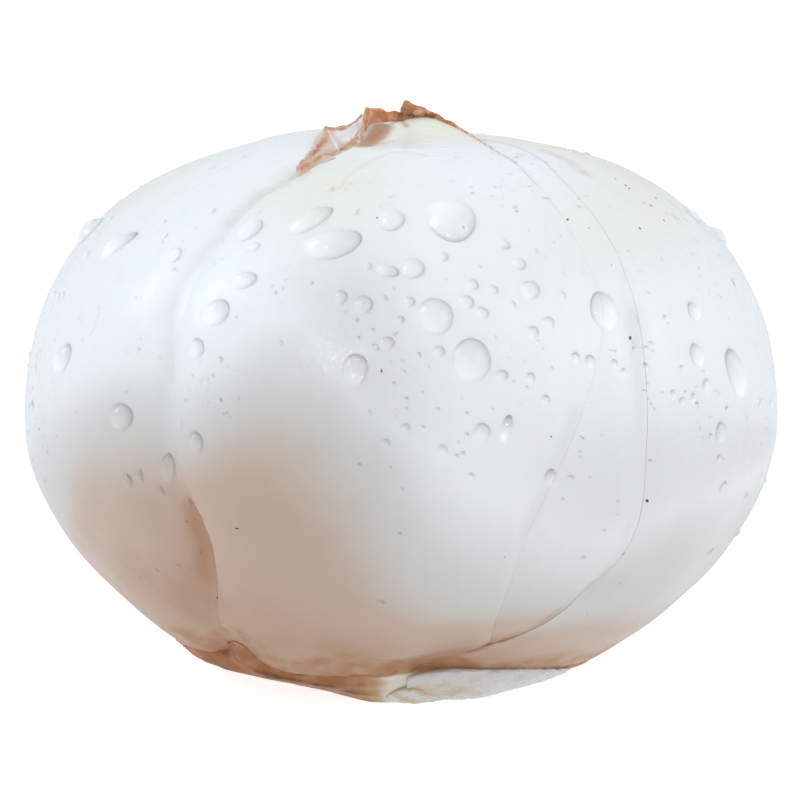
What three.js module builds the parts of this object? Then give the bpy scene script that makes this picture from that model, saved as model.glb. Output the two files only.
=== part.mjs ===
// A fresh edible lily bulb: a rosette of fleshy white scale leaves that wrap round one another, each standing
// on a flat-cut basal plate, with a bud at the heart. Millimetres, +Z up. The origin is on the cut face that
// the bulb stands on, under the middle of the bulb, and -Y is the front.
//
// Every scale leaf lies on the same star-shaped form, seen from the heart of the bulb. The leaves are listed
// from the outside in, and each one lies as deep as the leaves over it are thick, as real leaves do.
import * as THREE from "three";
import { ParametricGeometry } from "three/addons/geometries/ParametricGeometry.js";
import { mergeGeometries, mergeVertices } from "three/addons/utils/BufferGeometryUtils.js";

// The form of the whole bulb.
const HALF_WIDTH = 34;
const DEPTH_SHARE = 0.95;
const HEART_HEIGHT = 21.8;
const CROWN = { rise: 26.8, squareness: 2.49 };
const KEEL = { rise: 26, squareness: 1.7 };

// The basal plate: a low cone that the leaves grow from, cut flat underneath.
const PLATE_FOOT_RADIUS = 15.4;
const PLATE_RIM = { radius: 20.2, height: 3.2 };
const PLATE_TOP_HEIGHT = 16.5;
const PLATE_TOP_POWER = 1.3;
const PLATE_OFFSET = -1;

// How leaves lie on each other.
const CLEARANCE = 0.45;
const INNER_CLEARANCE = 0.8;
const EDGE_THICKNESS = 0.7;
const OUTER_TAPER = 10;
const INNER_TAPER = 15;
const DIP_WIDTH = 6;
const LIP_WIDTH = 2.5;
const LIP_SHARE = 0.6;
const TIP_THICKNESS_SHARE = 0.35;
const TIP_THINS_FROM = 45;
const TIP_THINS_OVER = 40;
const MM_PER_DEGREE = 0.5;
const LOWEST_START = -62;
const ON_EDGE = 1e-6;

// Where a leaf stands proud of the form: the blunt tip of the front scale rises to a beak with a dried knob
// on it, and in the mouth of the bulb, where no outer leaf lies over them, the second leaves rise too.
const BEAK = { azimuth: -4, along: 92, across: 4, spread: 3.2, height: 1.6 };
const BEAK_KNOB = { azimuth: -4, along: 92, across: 2.5, spread: 1.4, height: 1.9 };
const MOUTH = { azimuth: -60, along: 79, across: 2, spread: 3.6, height: 2.6 };

// The bud. Its half outline runs from its foot to its point, as [radius, height].
const BUD_FOOT_RADIUS = 6;
const BUD_FOOT = PLATE_TOP_HEIGHT + CLEARANCE;
const BUD_OUTLINE = [[BUD_FOOT_RADIUS, BUD_FOOT], [12.8, 21], [14.5, 26], [9.5, 33.5], [0, 37.5]];

// How finely the surfaces are divided.
const OUTER_GRID = { columns: 14, rows: 18 };
const INNER_GRID = { columns: 10, rows: 14 };
const PLATE_GRID = { sides: 40, rings: 7 };
const BUD_GRID = { sides: 18, rings: 9 };
const FOOT_HALVINGS = 18;
const WELD = 1e-3;

const DEGREE = Math.PI / 180;
const HEART = new THREE.Vector3(0, 0, HEART_HEIGHT);

const FLESH = new THREE.MeshStandardMaterial({ color: 0xeceeea, roughness: 0.35, metalness: 0 });
const INNER_FLESH = new THREE.MeshStandardMaterial({ color: 0xf1efdc, roughness: 0.45, metalness: 0 });
const PLATE_FLESH = new THREE.MeshStandardMaterial({ color: 0xc9a983, roughness: 0.6, metalness: 0 });

const smoothstep = (x) => THREE.MathUtils.smoothstep(x, 0, 1);
const gauss = (x) => Math.exp(-x * x);

// A smooth curve through [place, value] stations, straight on past both ends.
function through(stations) {
  const slopes = stations.map((_, i) => {
    const [a, b] = [stations[Math.max(i - 1, 0)], stations[Math.min(i + 1, stations.length - 1)]];
    return (b[1] - a[1]) / (b[0] - a[0]);
  });
  return (x) => {
    const last = stations.length - 1;
    if (x <= stations[0][0]) return stations[0][1] + slopes[0] * (x - stations[0][0]);
    if (x >= stations[last][0]) return stations[last][1] + slopes[last] * (x - stations[last][0]);
    const i = stations.findIndex(([place]) => place > x) - 1;
    const [[x0, y0], [x1, y1]] = [stations[i], stations[i + 1]];
    const run = x1 - x0;
    const t = (x - x0) / run;
    const s = 1 - t;
    return (
      y0 * s * s * (1 + 2 * t) + y1 * t * t * (1 + 2 * s) + run * s * t * (slopes[i] * s - slopes[i + 1] * t)
    );
  };
}

// Distance from the heart to the bulb's outer form along a unit direction: a superellipse, with one power
// above the heart and another below it.
function formRadius(direction) {
  const { rise, squareness } = direction.z > 0 ? CROWN : KEEL;
  const level = Math.hypot(direction.x / HALF_WIDTH, direction.y / (HALF_WIDTH * DEPTH_SHARE));
  return (level ** squareness + (Math.abs(direction.z) / rise) ** squareness) ** (-1 / squareness);
}

// A leaf has its own great circle through the front of the bulb at its azimuth: along is the angle up that
// circle from level, and across is the angle to the right of it. Both are in degrees.
function directionOf(leaf, along, across) {
  const azimuth = leaf.azimuth * DEGREE;
  const [a, c] = [along * DEGREE, across * DEGREE];
  const out = new THREE.Vector3(Math.sin(azimuth), -Math.cos(azimuth), 0).multiplyScalar(Math.cos(a));
  out.z = Math.sin(a);
  return out
    .multiplyScalar(Math.cos(c))
    .add(new THREE.Vector3(Math.cos(azimuth), Math.sin(azimuth), 0).multiplyScalar(Math.sin(c)));
}

function placeOn(leaf, direction) {
  const azimuth = leaf.azimuth * DEGREE;
  const out = direction.x * Math.sin(azimuth) - direction.y * Math.cos(azimuth);
  const side = direction.x * Math.cos(azimuth) + direction.y * Math.sin(azimuth);
  const along = Math.atan2(direction.z, out) / DEGREE;
  return { along: along < -90 ? along + 360 : along, across: Math.asin(side) / DEGREE };
}

// Millimetres from the nearer side edge of a leaf, positive inside it.
function inset(leaf, along, across) {
  return Math.min(leaf.right(along) - across, across - leaf.left(along)) * MM_PER_DEGREE;
}

function thickness(leaf, along, across) {
  const thins = smoothstep((along - TIP_THINS_FROM) / TIP_THINS_OVER);
  const body = leaf.thickness * (1 - (1 - TIP_THICKNESS_SHARE) * thins);
  return body - (body - EDGE_THICKNESS) * gauss(inset(leaf, along, across) / leaf.taper);
}

// How much deeper a leaf pushes whatever lies under it: its thickness, and just outside it a dip that
// fades away from its edge.
function pushes(leaf, direction) {
  const { along, across } = placeOn(leaf, direction);
  const inside = inset(leaf, along, across);
  if (inside < 0) return (EDGE_THICKNESS + leaf.clearance) * gauss(inside / DIP_WIDTH);
  return thickness(leaf, along, across) + leaf.clearance;
}

// How far a leaf stands proud of its place, in smooth humps.
function risen(leaf, direction) {
  return leaf.lifts.reduce((sum, lift) => {
    const away = (direction.angleTo(directionOf(lift, lift.along, lift.across)) / DEGREE) * MM_PER_DEGREE;
    return sum + lift.height * gauss(away / lift.spread);
  }, 0);
}

// A point of a leaf: share 0 is its outer face and 1 its inner face. Both faces meet at its edges.
function leafPoint(leaf, over, along, across, share) {
  const direction = directionOf(leaf, along, across);
  const buried = over.reduce((depth, other) => depth + pushes(other, direction), -risen(leaf, direction));
  const inside = Math.max(inset(leaf, along, across), 0);
  const lip = LIP_SHARE * EDGE_THICKNESS * gauss(inside / LIP_WIDTH);
  const wall = inside > ON_EDGE ? thickness(leaf, along, across) - lip : 0;
  return direction.multiplyScalar(formRadius(direction) - buried - lip - share * wall).add(HEART);
}

// Height of the basal plate's upper face, which every leaf stands on.
function plateTop(radius) {
  const fall = (radius / PLATE_RIM.radius) ** PLATE_TOP_POWER;
  return PLATE_TOP_HEIGHT - (PLATE_TOP_HEIGHT - PLATE_RIM.height) * fall;
}

// The place along a leaf where it meets the basal plate, found by halving.
function footOf(leaf, over, acrossAt, share) {
  let [low, high] = [LOWEST_START, 0];
  const clears = (along) => {
    const point = leafPoint(leaf, over, along, acrossAt(along), share);
    const radius = Math.hypot(point.x - PLATE_OFFSET, point.y);
    return radius > BUD_FOOT_RADIUS + CLEARANCE && point.z > plateTop(radius) + CLEARANCE;
  };
  if (clears(low)) return low;
  for (let i = 0; i < FOOT_HALVINGS; i += 1) {
    const middle = (low + high) / 2;
    [low, high] = clears(middle) ? [low, middle] : [middle, high];
  }
  return high;
}

// A scale leaf as a closed solid: an outer sheet and an inner sheet welded at both side edges and at the
// tip, with the cut face at its foot as the outer sheet's first row.
function leafGeometry(leaf, over, { columns, rows }) {
  const lines = Array.from({ length: columns + 1 }, (_, i) => {
    const side = i / columns;
    const acrossAt = (along) => THREE.MathUtils.lerp(leaf.left(along), leaf.right(along), side);
    return { acrossAt, feet: [0, 1].map((share) => footOf(leaf, over, acrossAt, share)) };
  });
  const pointAt = (side, rise, share) => {
    const { acrossAt, feet } = lines[Math.round(side * columns)];
    const along = THREE.MathUtils.lerp(feet[share], leaf.tip, rise);
    return leafPoint(leaf, over, along, acrossAt(along), rise === 1 ? 0 : share);
  };
  const outer = (u, v, target) => {
    const row = Math.round(v * rows);
    target.copy(row === 0 ? pointAt(u, 0, 1) : pointAt(u, (row - 1) / (rows - 1), 0));
  };
  const inner = (u, v, target) => {
    const row = Math.round(v * (rows - 1));
    target.copy(pointAt(1 - u, row / (rows - 1), 1));
  };
  const sheets = [
    new ParametricGeometry(outer, columns, rows),
    new ParametricGeometry(inner, columns, rows - 1),
  ];
  return welded(mergeGeometries(sheets));
}

function welded(geometry) {
  geometry.deleteAttribute("normal");
  geometry.deleteAttribute("uv");
  const merged = mergeVertices(geometry, WELD);
  const [index, faces] = [merged.index.array, []];
  for (let i = 0; i < index.length; i += 3) {
    const [a, b, c] = index.subarray(i, i + 3);
    if (a !== b && b !== c && a !== c) faces.push(a, b, c);
  }
  merged.setIndex(faces);
  merged.computeVertexNormals();
  return merged;
}

// The outer leaves, from the outermost in. Edges are [along, across] stations in degrees.
const OUTER_LEAVES = [
  {
    name: "front_scale",
    azimuth: -4,
    thickness: 4.6,
    tip: 93,
    left: [[-60, -29], [-38, -31], [-12, -27], [6, -32], [30, -30], [50, -22], [67, -9], [78, -6], [93, -4]],
    right: [[-60, 20], [-30, 20], [-8, 23], [12, 31], [30, 34], [48, 28.5], [67, 21.5], [83, 15], [93, 11]],
    lifts: [BEAK, BEAK_KNOB],
  },
  {
    name: "right_scale",
    azimuth: 82,
    thickness: 4.4,
    tip: 84,
    left: [[-60, -49], [-20, -43], [6, -43], [30, -37], [54, -24], [67, -8], [84, -1]],
    right: [[-60, 30], [-20, 42], [10, 45], [40, 36], [66, 20], [84, 1]],
  },
  {
    name: "left_scale",
    azimuth: -80,
    thickness: 4.4,
    tip: 84,
    left: [[-60, -34], [-20, -38], [10, -40], [40, -33], [66, -18], [84, -2]],
    right: [[-60, 44], [-20, 56], [10, 58], [40, 48], [60, 34], [68, 21], [76, 8], [84, 0]],
  },
  {
    name: "back_scale",
    azimuth: 168,
    thickness: 4.4,
    tip: 83,
    left: [[-60, -40], [-20, -52], [10, -56], [40, -46], [66, -24], [83, -3]],
    right: [[-60, 32], [-20, 38], [10, 41], [40, 33], [66, 16], [83, 0]],
  },
  {
    name: "right_front_scale",
    azimuth: 38,
    thickness: 4,
    tip: 80,
    left: [[-60, -28], [-20, -39], [10, -38], [40, -28], [66, -12], [80, -1]],
    right: [[-60, 34], [-20, 40], [10, 40], [40, 32], [66, 14], [80, 1]],
  },
  {
    name: "back_left_scale",
    azimuth: -135,
    thickness: 4,
    tip: 82,
    left: [[-60, -34], [-20, -42], [10, -44], [40, -34], [66, -16], [82, -1]],
    right: [[-60, 34], [-20, 42], [10, 44], [40, 34], [66, 16], [82, 1]],
  },
];

// The leaves inside grow in three smaller whorls, each whorl turned to sit behind the gaps of the last.
const WHORLS = [
  { name: "second", count: 5, start: 10, halfWidth: 50, thickness: 3.6, tip: 88, lifts: [MOUTH] },
  { name: "third", count: 4, start: 52, halfWidth: 58, thickness: 3.2, tip: 78 },
  { name: "heart", count: 3, start: 0, halfWidth: 60, thickness: 2.6, tip: 68 },
];

// A plain pointed leaf outline: narrow at the foot, widest at the level of the heart.
function plainEdge(halfWidth, tip, side) {
  const shares = [[-60, 0.62], [-20, 0.92], [10, 1], [0.46 * tip, 0.8], [0.76 * tip, 0.42], [tip, 0.02]];
  return shares.map(([along, share]) => [along, side * halfWidth * share]);
}

function whorlLeaves({ name, count, start, halfWidth, tip, ...rest }) {
  return Array.from({ length: count }, (_, i) => ({
    ...rest,
    name: `${name}_scale_${i + 1}`,
    azimuth: start + (i * 360) / count,
    tip,
    left: plainEdge(halfWidth, tip, -1),
    right: plainEdge(halfWidth, tip, 1),
  }));
}

const shaped = (fit) => (leaf) => ({
  lifts: [],
  ...leaf,
  ...fit,
  left: through(leaf.left),
  right: through(leaf.right),
});

// The basal plate: a turned cone whose wall narrows to the flat cut face.
function plateGeometry() {
  const profile = [new THREE.Vector2(0, 0), new THREE.Vector2(PLATE_FOOT_RADIUS, 0)];
  for (let i = 0; i < PLATE_GRID.rings; i += 1) {
    const radius = PLATE_RIM.radius * (1 - i / PLATE_GRID.rings);
    profile.push(new THREE.Vector2(radius, plateTop(radius)));
  }
  profile.push(new THREE.Vector2(0, PLATE_TOP_HEIGHT));
  return welded(new THREE.LatheGeometry(profile, PLATE_GRID.sides).rotateX(Math.PI / 2));
}

// The bud at the heart: a turned, pointed spindle.
function budGeometry() {
  const outline = new THREE.SplineCurve(BUD_OUTLINE.map((point) => new THREE.Vector2(...point)));
  const profile = [new THREE.Vector2(0, BUD_FOOT), ...outline.getPoints(BUD_GRID.rings)];
  return welded(new THREE.LatheGeometry(profile, BUD_GRID.sides).rotateX(Math.PI / 2));
}

const bulb = new THREE.Group();

function add(name, geometry, material) {
  const mesh = new THREE.Mesh(geometry, material);
  mesh.name = name;
  bulb.add(mesh);
  return mesh;
}

const OUTER_FIT = { taper: OUTER_TAPER, clearance: CLEARANCE };
const INNER_FIT = { taper: INNER_TAPER, clearance: INNER_CLEARANCE };
const outerLeaves = OUTER_LEAVES.map(shaped(OUTER_FIT));
const innerLeaves = WHORLS.flatMap(whorlLeaves).map(shaped(INNER_FIT));
const leaves = [...outerLeaves, ...innerLeaves];

outerLeaves.forEach((leaf, i) => add(leaf.name, leafGeometry(leaf, leaves.slice(0, i), OUTER_GRID), FLESH));
innerLeaves.forEach((leaf, i) => {
  const over = leaves.slice(0, outerLeaves.length + i);
  add(leaf.name, leafGeometry(leaf, over, INNER_GRID), INNER_FLESH);
});
add("basal_plate", plateGeometry(), PLATE_FLESH).position.x = PLATE_OFFSET;
add("bud", budGeometry(), INNER_FLESH).position.x = PLATE_OFFSET;

export default bulb;
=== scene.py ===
# %% [markdown]
# # A fresh lily bulb, wet from the tap
#
# An edible lily bulb is a rosette of thick white leaves that wrap round one another and all grow from one
# short cone of stem, the basal plate. The leaves end at the top in a small mouth of thin dried skin. The
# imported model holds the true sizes. This script adds what the eye sees: smooth flesh, seams, dried skin, a
# torn base and drops of water.

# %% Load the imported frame
import math
import bpy
import numpy as np
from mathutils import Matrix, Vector


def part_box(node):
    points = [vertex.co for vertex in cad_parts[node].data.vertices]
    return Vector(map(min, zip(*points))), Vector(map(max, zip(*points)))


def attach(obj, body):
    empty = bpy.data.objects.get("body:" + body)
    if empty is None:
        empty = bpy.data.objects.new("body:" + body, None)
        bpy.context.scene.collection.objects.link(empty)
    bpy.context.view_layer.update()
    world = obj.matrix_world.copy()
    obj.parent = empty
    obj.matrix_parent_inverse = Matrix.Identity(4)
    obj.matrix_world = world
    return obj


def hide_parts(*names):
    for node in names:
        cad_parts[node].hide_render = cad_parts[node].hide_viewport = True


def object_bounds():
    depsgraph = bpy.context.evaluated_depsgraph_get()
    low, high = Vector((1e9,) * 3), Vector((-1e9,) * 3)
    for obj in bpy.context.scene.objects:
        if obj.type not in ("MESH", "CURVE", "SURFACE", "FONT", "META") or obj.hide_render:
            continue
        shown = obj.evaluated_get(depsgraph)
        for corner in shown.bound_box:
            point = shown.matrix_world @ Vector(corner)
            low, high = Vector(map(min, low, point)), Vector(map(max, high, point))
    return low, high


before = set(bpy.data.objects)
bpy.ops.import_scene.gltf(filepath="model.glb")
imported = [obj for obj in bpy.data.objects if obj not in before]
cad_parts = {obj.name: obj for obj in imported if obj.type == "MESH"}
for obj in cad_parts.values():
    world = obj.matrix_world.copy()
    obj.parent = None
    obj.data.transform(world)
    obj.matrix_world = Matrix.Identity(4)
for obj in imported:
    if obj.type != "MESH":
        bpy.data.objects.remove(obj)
CAD_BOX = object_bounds()
MM = 0.001
low, high = (np.array(corner) / MM for corner in CAD_BOX)
print("frame box, mm:", low.round(1), high.round(1))

# %% [markdown]
# ## Camera
#
# The bulb is seen from the front and a little from above, through a long lens, so that its sides look
# nearly parallel. The camera is made before anything else, because it decides how fine each piece has to
# be.

# %% Camera
VIEW_ELEVATION = 9
VIEW_DISTANCE = 302
VIEW_LENS = 150
LOOKED_AT = (-0.1, 0, 0.471 * high[2])


def add_camera(target, distance, elevation, lens):
    """A camera at distance (mm) from target, elevation degrees above the horizon, looking along +Y."""
    slope = math.radians(elevation)
    back = Vector((0, -math.cos(slope), math.sin(slope)))
    data = bpy.data.cameras.new("front_camera")
    data.lens = lens
    data.clip_start, data.clip_end = 0.01, 20
    camera = bpy.data.objects.new("front_camera", data)
    camera.location = (Vector(target) + back * distance) * MM
    camera.rotation_euler = (-back).to_track_quat("-Z", "Y").to_euler()
    bpy.context.scene.collection.objects.link(camera)
    bpy.context.scene.camera = camera
    return camera


camera = add_camera(LOOKED_AT, VIEW_DISTANCE, VIEW_ELEVATION, VIEW_LENS)
print("camera at, mm:", [round(c / MM) for c in camera.location])

# %% [markdown]
# ## Small helpers
#
# Every surface below is worked out as whole arrays: a few curves, a few soft steps, and seeded waves for
# what grew unevenly. Lengths are in millimetres until a mesh is made.

# %% Curves, steps and waves


def smoothstep(x):
    """0 below 0, 1 above 1, and 3x^2 - 2x^3 between."""
    t = np.clip(x, 0, 1)
    return t * t * (3 - 2 * t)


def gauss(x):
    """The bell exp(-x^2)."""
    return np.exp(-x * x)


def unit(vectors):
    """Vectors divided by their lengths."""
    return vectors / np.linalg.norm(vectors, axis=-1, keepdims=True)


def through(stations):
    """A function of place that follows a smooth cubic through [place, value] stations, and runs on straight
    past both ends."""
    places, values = np.array(stations, float).T
    slopes = np.empty_like(values)
    slopes[1:-1] = (values[2:] - values[:-2]) / (places[2:] - places[:-2])
    slopes[0] = (values[1] - values[0]) / (places[1] - places[0])
    slopes[-1] = (values[-1] - values[-2]) / (places[-1] - places[-2])

    def curve(x):
        x = np.asarray(x, float)
        i = np.clip(np.searchsorted(places, x, side="right") - 1, 0, len(places) - 2)
        run = places[i + 1] - places[i]
        t = np.clip((x - places[i]) / run, 0, 1)
        s = 1 - t
        inner = values[i] * s * s * (1 + 2 * t) + values[i + 1] * t * t * (1 + 2 * s)
        inner = inner + run * s * t * (slopes[i] * s - slopes[i + 1] * t)
        before = np.minimum(x - places[0], 0) * slopes[0]
        after = np.maximum(x - places[-1], 0) * slopes[-1]
        return inner + before + after

    return curve


def waves(points, wavelength, seed, count=20):
    """Smooth seeded unevenness with a spread of about 1: a sum of sines along random directions, each with
    a wavelength (mm) within a third of the one given."""
    random = np.random.default_rng(seed)
    ways = unit(random.normal(size=(count, points.shape[-1])))
    rates = 2 * np.pi / (wavelength * random.uniform(0.7, 1.35, count))
    phases = random.uniform(0, 2 * np.pi, count)
    return np.sin(points @ (ways * rates[:, None]).T + phases).sum(-1) * np.sqrt(2 / count)


print("a curve half way between its stations:", through([[0, 0], [1, 1], [2, 4]])(0.5))

# %% [markdown]
# ## Meshes and attributes
#
# A piece is handed to Blender as one array of points and a few arrays of faces. Values that a finish needs,
# such as how dry the skin is at each point, go with it as named attributes.

# %% Mesh helpers


def add_piece(name, points, faces, attributes=None):
    """A mesh object from points in mm and a list of face arrays. Faces that turn inwards, which is where
    the enclosed volume comes out negative, are all turned round."""
    rows = [row for block in faces for row in np.asarray(block).tolist()]
    corners = np.array([(f[0], f[i], f[i + 1]) for f in rows for i in range(1, len(f) - 1)])
    a, b, c = points[corners[:, 0]], points[corners[:, 1]], points[corners[:, 2]]
    volume = np.einsum("ij,ij->i", a, np.cross(b, c)).sum() / 6
    rows = rows if volume > 0 else [row[::-1] for row in rows]
    mesh = bpy.data.meshes.new(name)
    mesh.from_pydata((points * MM).tolist(), [], rows)
    mesh.polygons.foreach_set("use_smooth", np.ones(len(mesh.polygons), bool))
    for key, values in (attributes or {}).items():
        kind = "FLOAT" if values.ndim == 1 else "FLOAT_VECTOR"
        layer = mesh.attributes.new(key, kind, "POINT")
        layer.data.foreach_set("value" if values.ndim == 1 else "vector", values.astype(np.float32).ravel())
    mesh.update()
    piece = bpy.data.objects.new(name, mesh)
    bpy.context.scene.collection.objects.link(piece)
    print(f"{name}: {len(corners)} triangles, {abs(volume) / 1000:.2f} cm3")
    return piece


def ring_quads(rings, size):
    """The quads between rings of equal size that follow one another: (rings - 1) * size rows of four."""
    i, j = np.meshgrid(np.arange(rings - 1), np.arange(size), indexing="ij")
    k = (j + 1) % size
    return np.stack([i * size + j, i * size + k, (i + 1) * size + k, (i + 1) * size + j], -1).reshape(-1, 4)


def closed_rings(rings, size, low_end, high_end):
    """The faces that close a stack of rings: the quads between them, and a fan of triangles from the first
    and the last ring to the point at each end."""
    i = np.arange(size)
    after, last = (i + 1) % size, (rings - 1) * size
    low_fan = np.stack([after, i, np.full(size, low_end)], -1)
    high_fan = np.stack([last + i, last + after, np.full(size, high_end)], -1)
    return ring_quads(rings, size), low_fan, high_fan


def thick_sheet(middle, thickness):
    """A closed sheet round a grid of middle points (rows, columns, 3): each side lies half the thickness
    away along the grid's normal, and the two sides meet at the rim. Returns points and faces."""
    along = np.gradient(middle, axis=0)
    across = np.gradient(middle, axis=1)
    normal = np.cross(across, along)
    normal /= np.linalg.norm(normal, axis=-1, keepdims=True) + 1e-12
    rows, columns = middle.shape[:2]
    half = np.broadcast_to(np.asarray(thickness, float) / 2, (rows, columns))[..., None]
    top, bottom = middle + normal * half, middle - normal * half
    i, j = np.meshgrid(np.arange(rows - 1), np.arange(columns - 1), indexing="ij")
    corner = (i * columns + j).reshape(-1)
    face = np.stack([corner, corner + 1, corner + columns + 1, corner + columns], -1)
    size = rows * columns
    rim = np.concatenate([
        np.arange(columns - 1),
        (np.arange(rows - 1) + 1) * columns - 1,
        size - 1 - np.arange(columns - 1),
        (rows - 1 - np.arange(rows - 1)) * columns,
    ])
    after = np.roll(rim, -1)
    wall = np.stack([rim, rim + size, after + size, after], -1)
    points = np.concatenate([top.reshape(-1, 3), bottom.reshape(-1, 3)])
    return points, [face, (face + size)[:, ::-1], wall]


# %% [markdown]
# ## The form that every leaf follows
#
# The leaves of a bulb press on one another, so together they make one rounded form and each leaf is a patch
# of it. The form is a superellipse seen from the heart of the bulb, flatter on its crown than on its keel.
# A leaf has its own frame: degrees along its middle line, from the base (-60) over the front (0) to the tip
# (about 90), and degrees across it. One function then answers where any leaf's skin lies, and drops can use
# it too.

# %% Form, in mm and degrees
HALF_WIDTH = high[0]
DEPTH_SHARE = (high[1] - low[1]) / (high[0] - low[0])
HEART = np.array([0, 0, 21.8])
CROWN = {"rise": 26.8, "squareness": 2.49}
KEEL = {"rise": 26.0, "squareness": 1.7}
MEAN_RADIUS = 30
MM_PER_DEGREE = 0.5
UNEVENNESS = 0.1


def form_radius(direction):
    """Distance from the heart to the skin: (level^p + rise^p)^(-1/p), where level and rise are the
    direction's sideways and upward parts as shares of the form's half width and of its height on that
    side."""
    level = np.hypot(direction[..., 0], direction[..., 1] / DEPTH_SHARE) / HALF_WIDTH
    up = direction[..., 2] > 0
    power = np.where(up, CROWN["squareness"], KEEL["squareness"])
    rise = np.abs(direction[..., 2]) / np.where(up, CROWN["rise"], KEEL["rise"])
    return (level**power + rise**power) ** (-1 / power)


def direction_at(azimuth, along, across):
    """The unit direction that lies along degrees up a middle line and across degrees to its right, where
    the middle line faces azimuth degrees from the front (-Y) toward +X."""
    a, u, v = np.radians(azimuth), np.radians(along), np.radians(across)
    out = np.array([np.sin(a), -np.cos(a), 0])
    side = np.array([np.cos(a), np.sin(a), 0])
    ahead = (np.cos(v) * np.cos(u))[..., None] * out + np.sin(v)[..., None] * side
    return ahead + (np.cos(v) * np.sin(u))[..., None] * np.array([0, 0, 1])


def place_on(azimuth, direction):
    """The along and across degrees of a direction, which undoes direction_at."""
    a = np.radians(azimuth)
    out = direction[..., 0] * np.sin(a) - direction[..., 1] * np.cos(a)
    side = direction[..., 0] * np.cos(a) + direction[..., 1] * np.sin(a)
    along = np.degrees(np.arctan2(direction[..., 2], out))
    return np.where(along < -90, along + 360, along), np.degrees(np.arcsin(np.clip(side, -1, 1)))


print("form, mm:", form_radius(np.eye(3)).round(2))

# %% [markdown]
# ## The six outer leaves
#
# Each leaf is a lens in section: a few millimetres of flesh that thins to a fine edge. A leaf on top
# presses down on the one below by its own thickness, and just past its edge the lower leaf swells back to
# the form, so a seam shows as a thin groove. The outlines are stations of [along, across] degrees.

# %% Outer leaves
EDGE = 0.11
EDGE_ROUND = 0.16
GAP = 0.01
DIP_WIDTH = 1.5
LIP = 0.03
LIP_WIDTH = 0.8
TAPER = 1.8
ROUND_TIP = 5
TIP_THICKNESS_SHARE = 0.35
TIP_THINS_FROM, TIP_THINS_OVER = 45, 40


def outline(left, right):
    """The two edges of a leaf as smooth functions of the degrees along it."""
    return {"left": through(left), "right": through(right)}


def mirrored(stations):
    """The same stations on the other side of the middle line."""
    return [[along, -across] for along, across in stations]


BACK_LEFT_EDGE = [[-60, -34], [-20, -42], [10, -44], [40, -34], [66, -16], [82, -1]]

FRONT = {
    "name": "front_scale", "azimuth": -4, "thickness": 4.6, "tip": 93, "edge": 0.16,
    **outline([[-60, -29], [-38, -31], [-12, -27], [6, -32], [30, -30], [50, -22], [67, -9.5],
               [78, -7.4], [93, -6]],
              [[-60, 1], [-46, 3], [-39.2, 6.5], [-37.4, 11.5], [-36.2, 16], [-34.2, 18.6], [-28.3, 19],
               [-16, 21.4], [-8, 23], [12, 31], [30, 34], [48, 28.5], [67, 21.5], [83, 15], [93, 11]]),
}
RIGHT = {
    "name": "right_scale", "azimuth": 82, "thickness": 4.4, "tip": 84, "edge": 0.035,
    **outline([[-60, -49], [-20, -43], [6, -43], [30, -37], [54, -24], [67, -8], [84, -1]],
              [[-60, 30], [-20, 42], [10, 45], [40, 36], [66, 20], [84, 1]]),
}
LEFT = {
    "name": "left_scale", "azimuth": -80, "thickness": 4.4, "tip": 84,
    **outline([[-60, -34], [-20, -38], [10, -40], [40, -33], [66, -18], [84, -2]],
              [[-60, 44], [-20, 56], [10, 58], [40, 48], [60, 34], [68, 21], [76, 8], [84, 0]]),
}
BACK = {
    "name": "back_scale", "azimuth": 168, "thickness": 4.4, "tip": 83,
    **outline([[-60, -40], [-20, -52], [10, -56], [40, -46], [66, -24], [83, -3]],
              [[-60, 32], [-20, 38], [10, 41], [40, 33], [66, 16], [83, 0]]),
}
RIGHT_FRONT = {
    "name": "right_front_scale", "azimuth": 38, "thickness": 4, "tip": 84,
    **outline([[-60, -28], [-20, -39], [10, -38], [40, -28], [66, -12], [84, -1]],
              [[-60, 34], [-20, 40], [10, 40], [40, 33], [66, 22], [84, 8]]),
}
BACK_LEFT = {
    "name": "back_left_scale", "azimuth": -135, "thickness": 4, "tip": 82,
    **outline(BACK_LEFT_EDGE, mirrored(BACK_LEFT_EDGE)),
}
OUTER_LEAVES = [FRONT, RIGHT, LEFT, BACK, RIGHT_FRONT, BACK_LEFT]
print("outer leaves, from the outside in:", [leaf["name"] for leaf in OUTER_LEAVES])

# %% [markdown]
# ## Inner leaves
#
# Three more whorls of thinner leaves fill the bulb. Little of them shows, but they carry the mouth and they
# are what a cook finds on pulling the bulb apart, so they are whole leaves too.

# %% Inner leaves
WHORLS = [
    {"name": "second_scale", "count": 5, "start": 10, "half_width": 50, "thickness": 3.6, "tip": 88},
    {"name": "third_scale", "count": 4, "start": 52, "half_width": 58, "thickness": 3.2, "tip": 78},
    {"name": "heart_scale", "count": 3, "start": 0, "half_width": 60, "thickness": 2.6, "tip": 68},
]
PLAIN_SHARES = [[0.62, -60], [0.92, -20], [1, 10]]


def plain_leaf(whorl, index):
    """A leaf of a whorl: both edges are the same plain curve, widest near its middle."""
    tip, half = whorl["tip"], whorl["half_width"]
    upper = [[0.8, 0.46 * tip], [0.42, 0.76 * tip], [0.02, tip]]
    right = [[along, share * half] for share, along in PLAIN_SHARES + upper]
    return {
        "name": f"{whorl['name']}_{index + 1}", "azimuth": whorl["start"] + index * 360 / whorl["count"],
        "thickness": whorl["thickness"], "tip": tip, **outline(mirrored(right), right),
    }


INNER_LEAVES = [plain_leaf(whorl, i) for whorl in WHORLS for i in range(whorl["count"])]
LEAVES = OUTER_LEAVES + INNER_LEAVES
for i, leaf in enumerate(LEAVES):
    leaf["over"] = LEAVES[:i]
print(len(LEAVES), "leaves")

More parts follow.
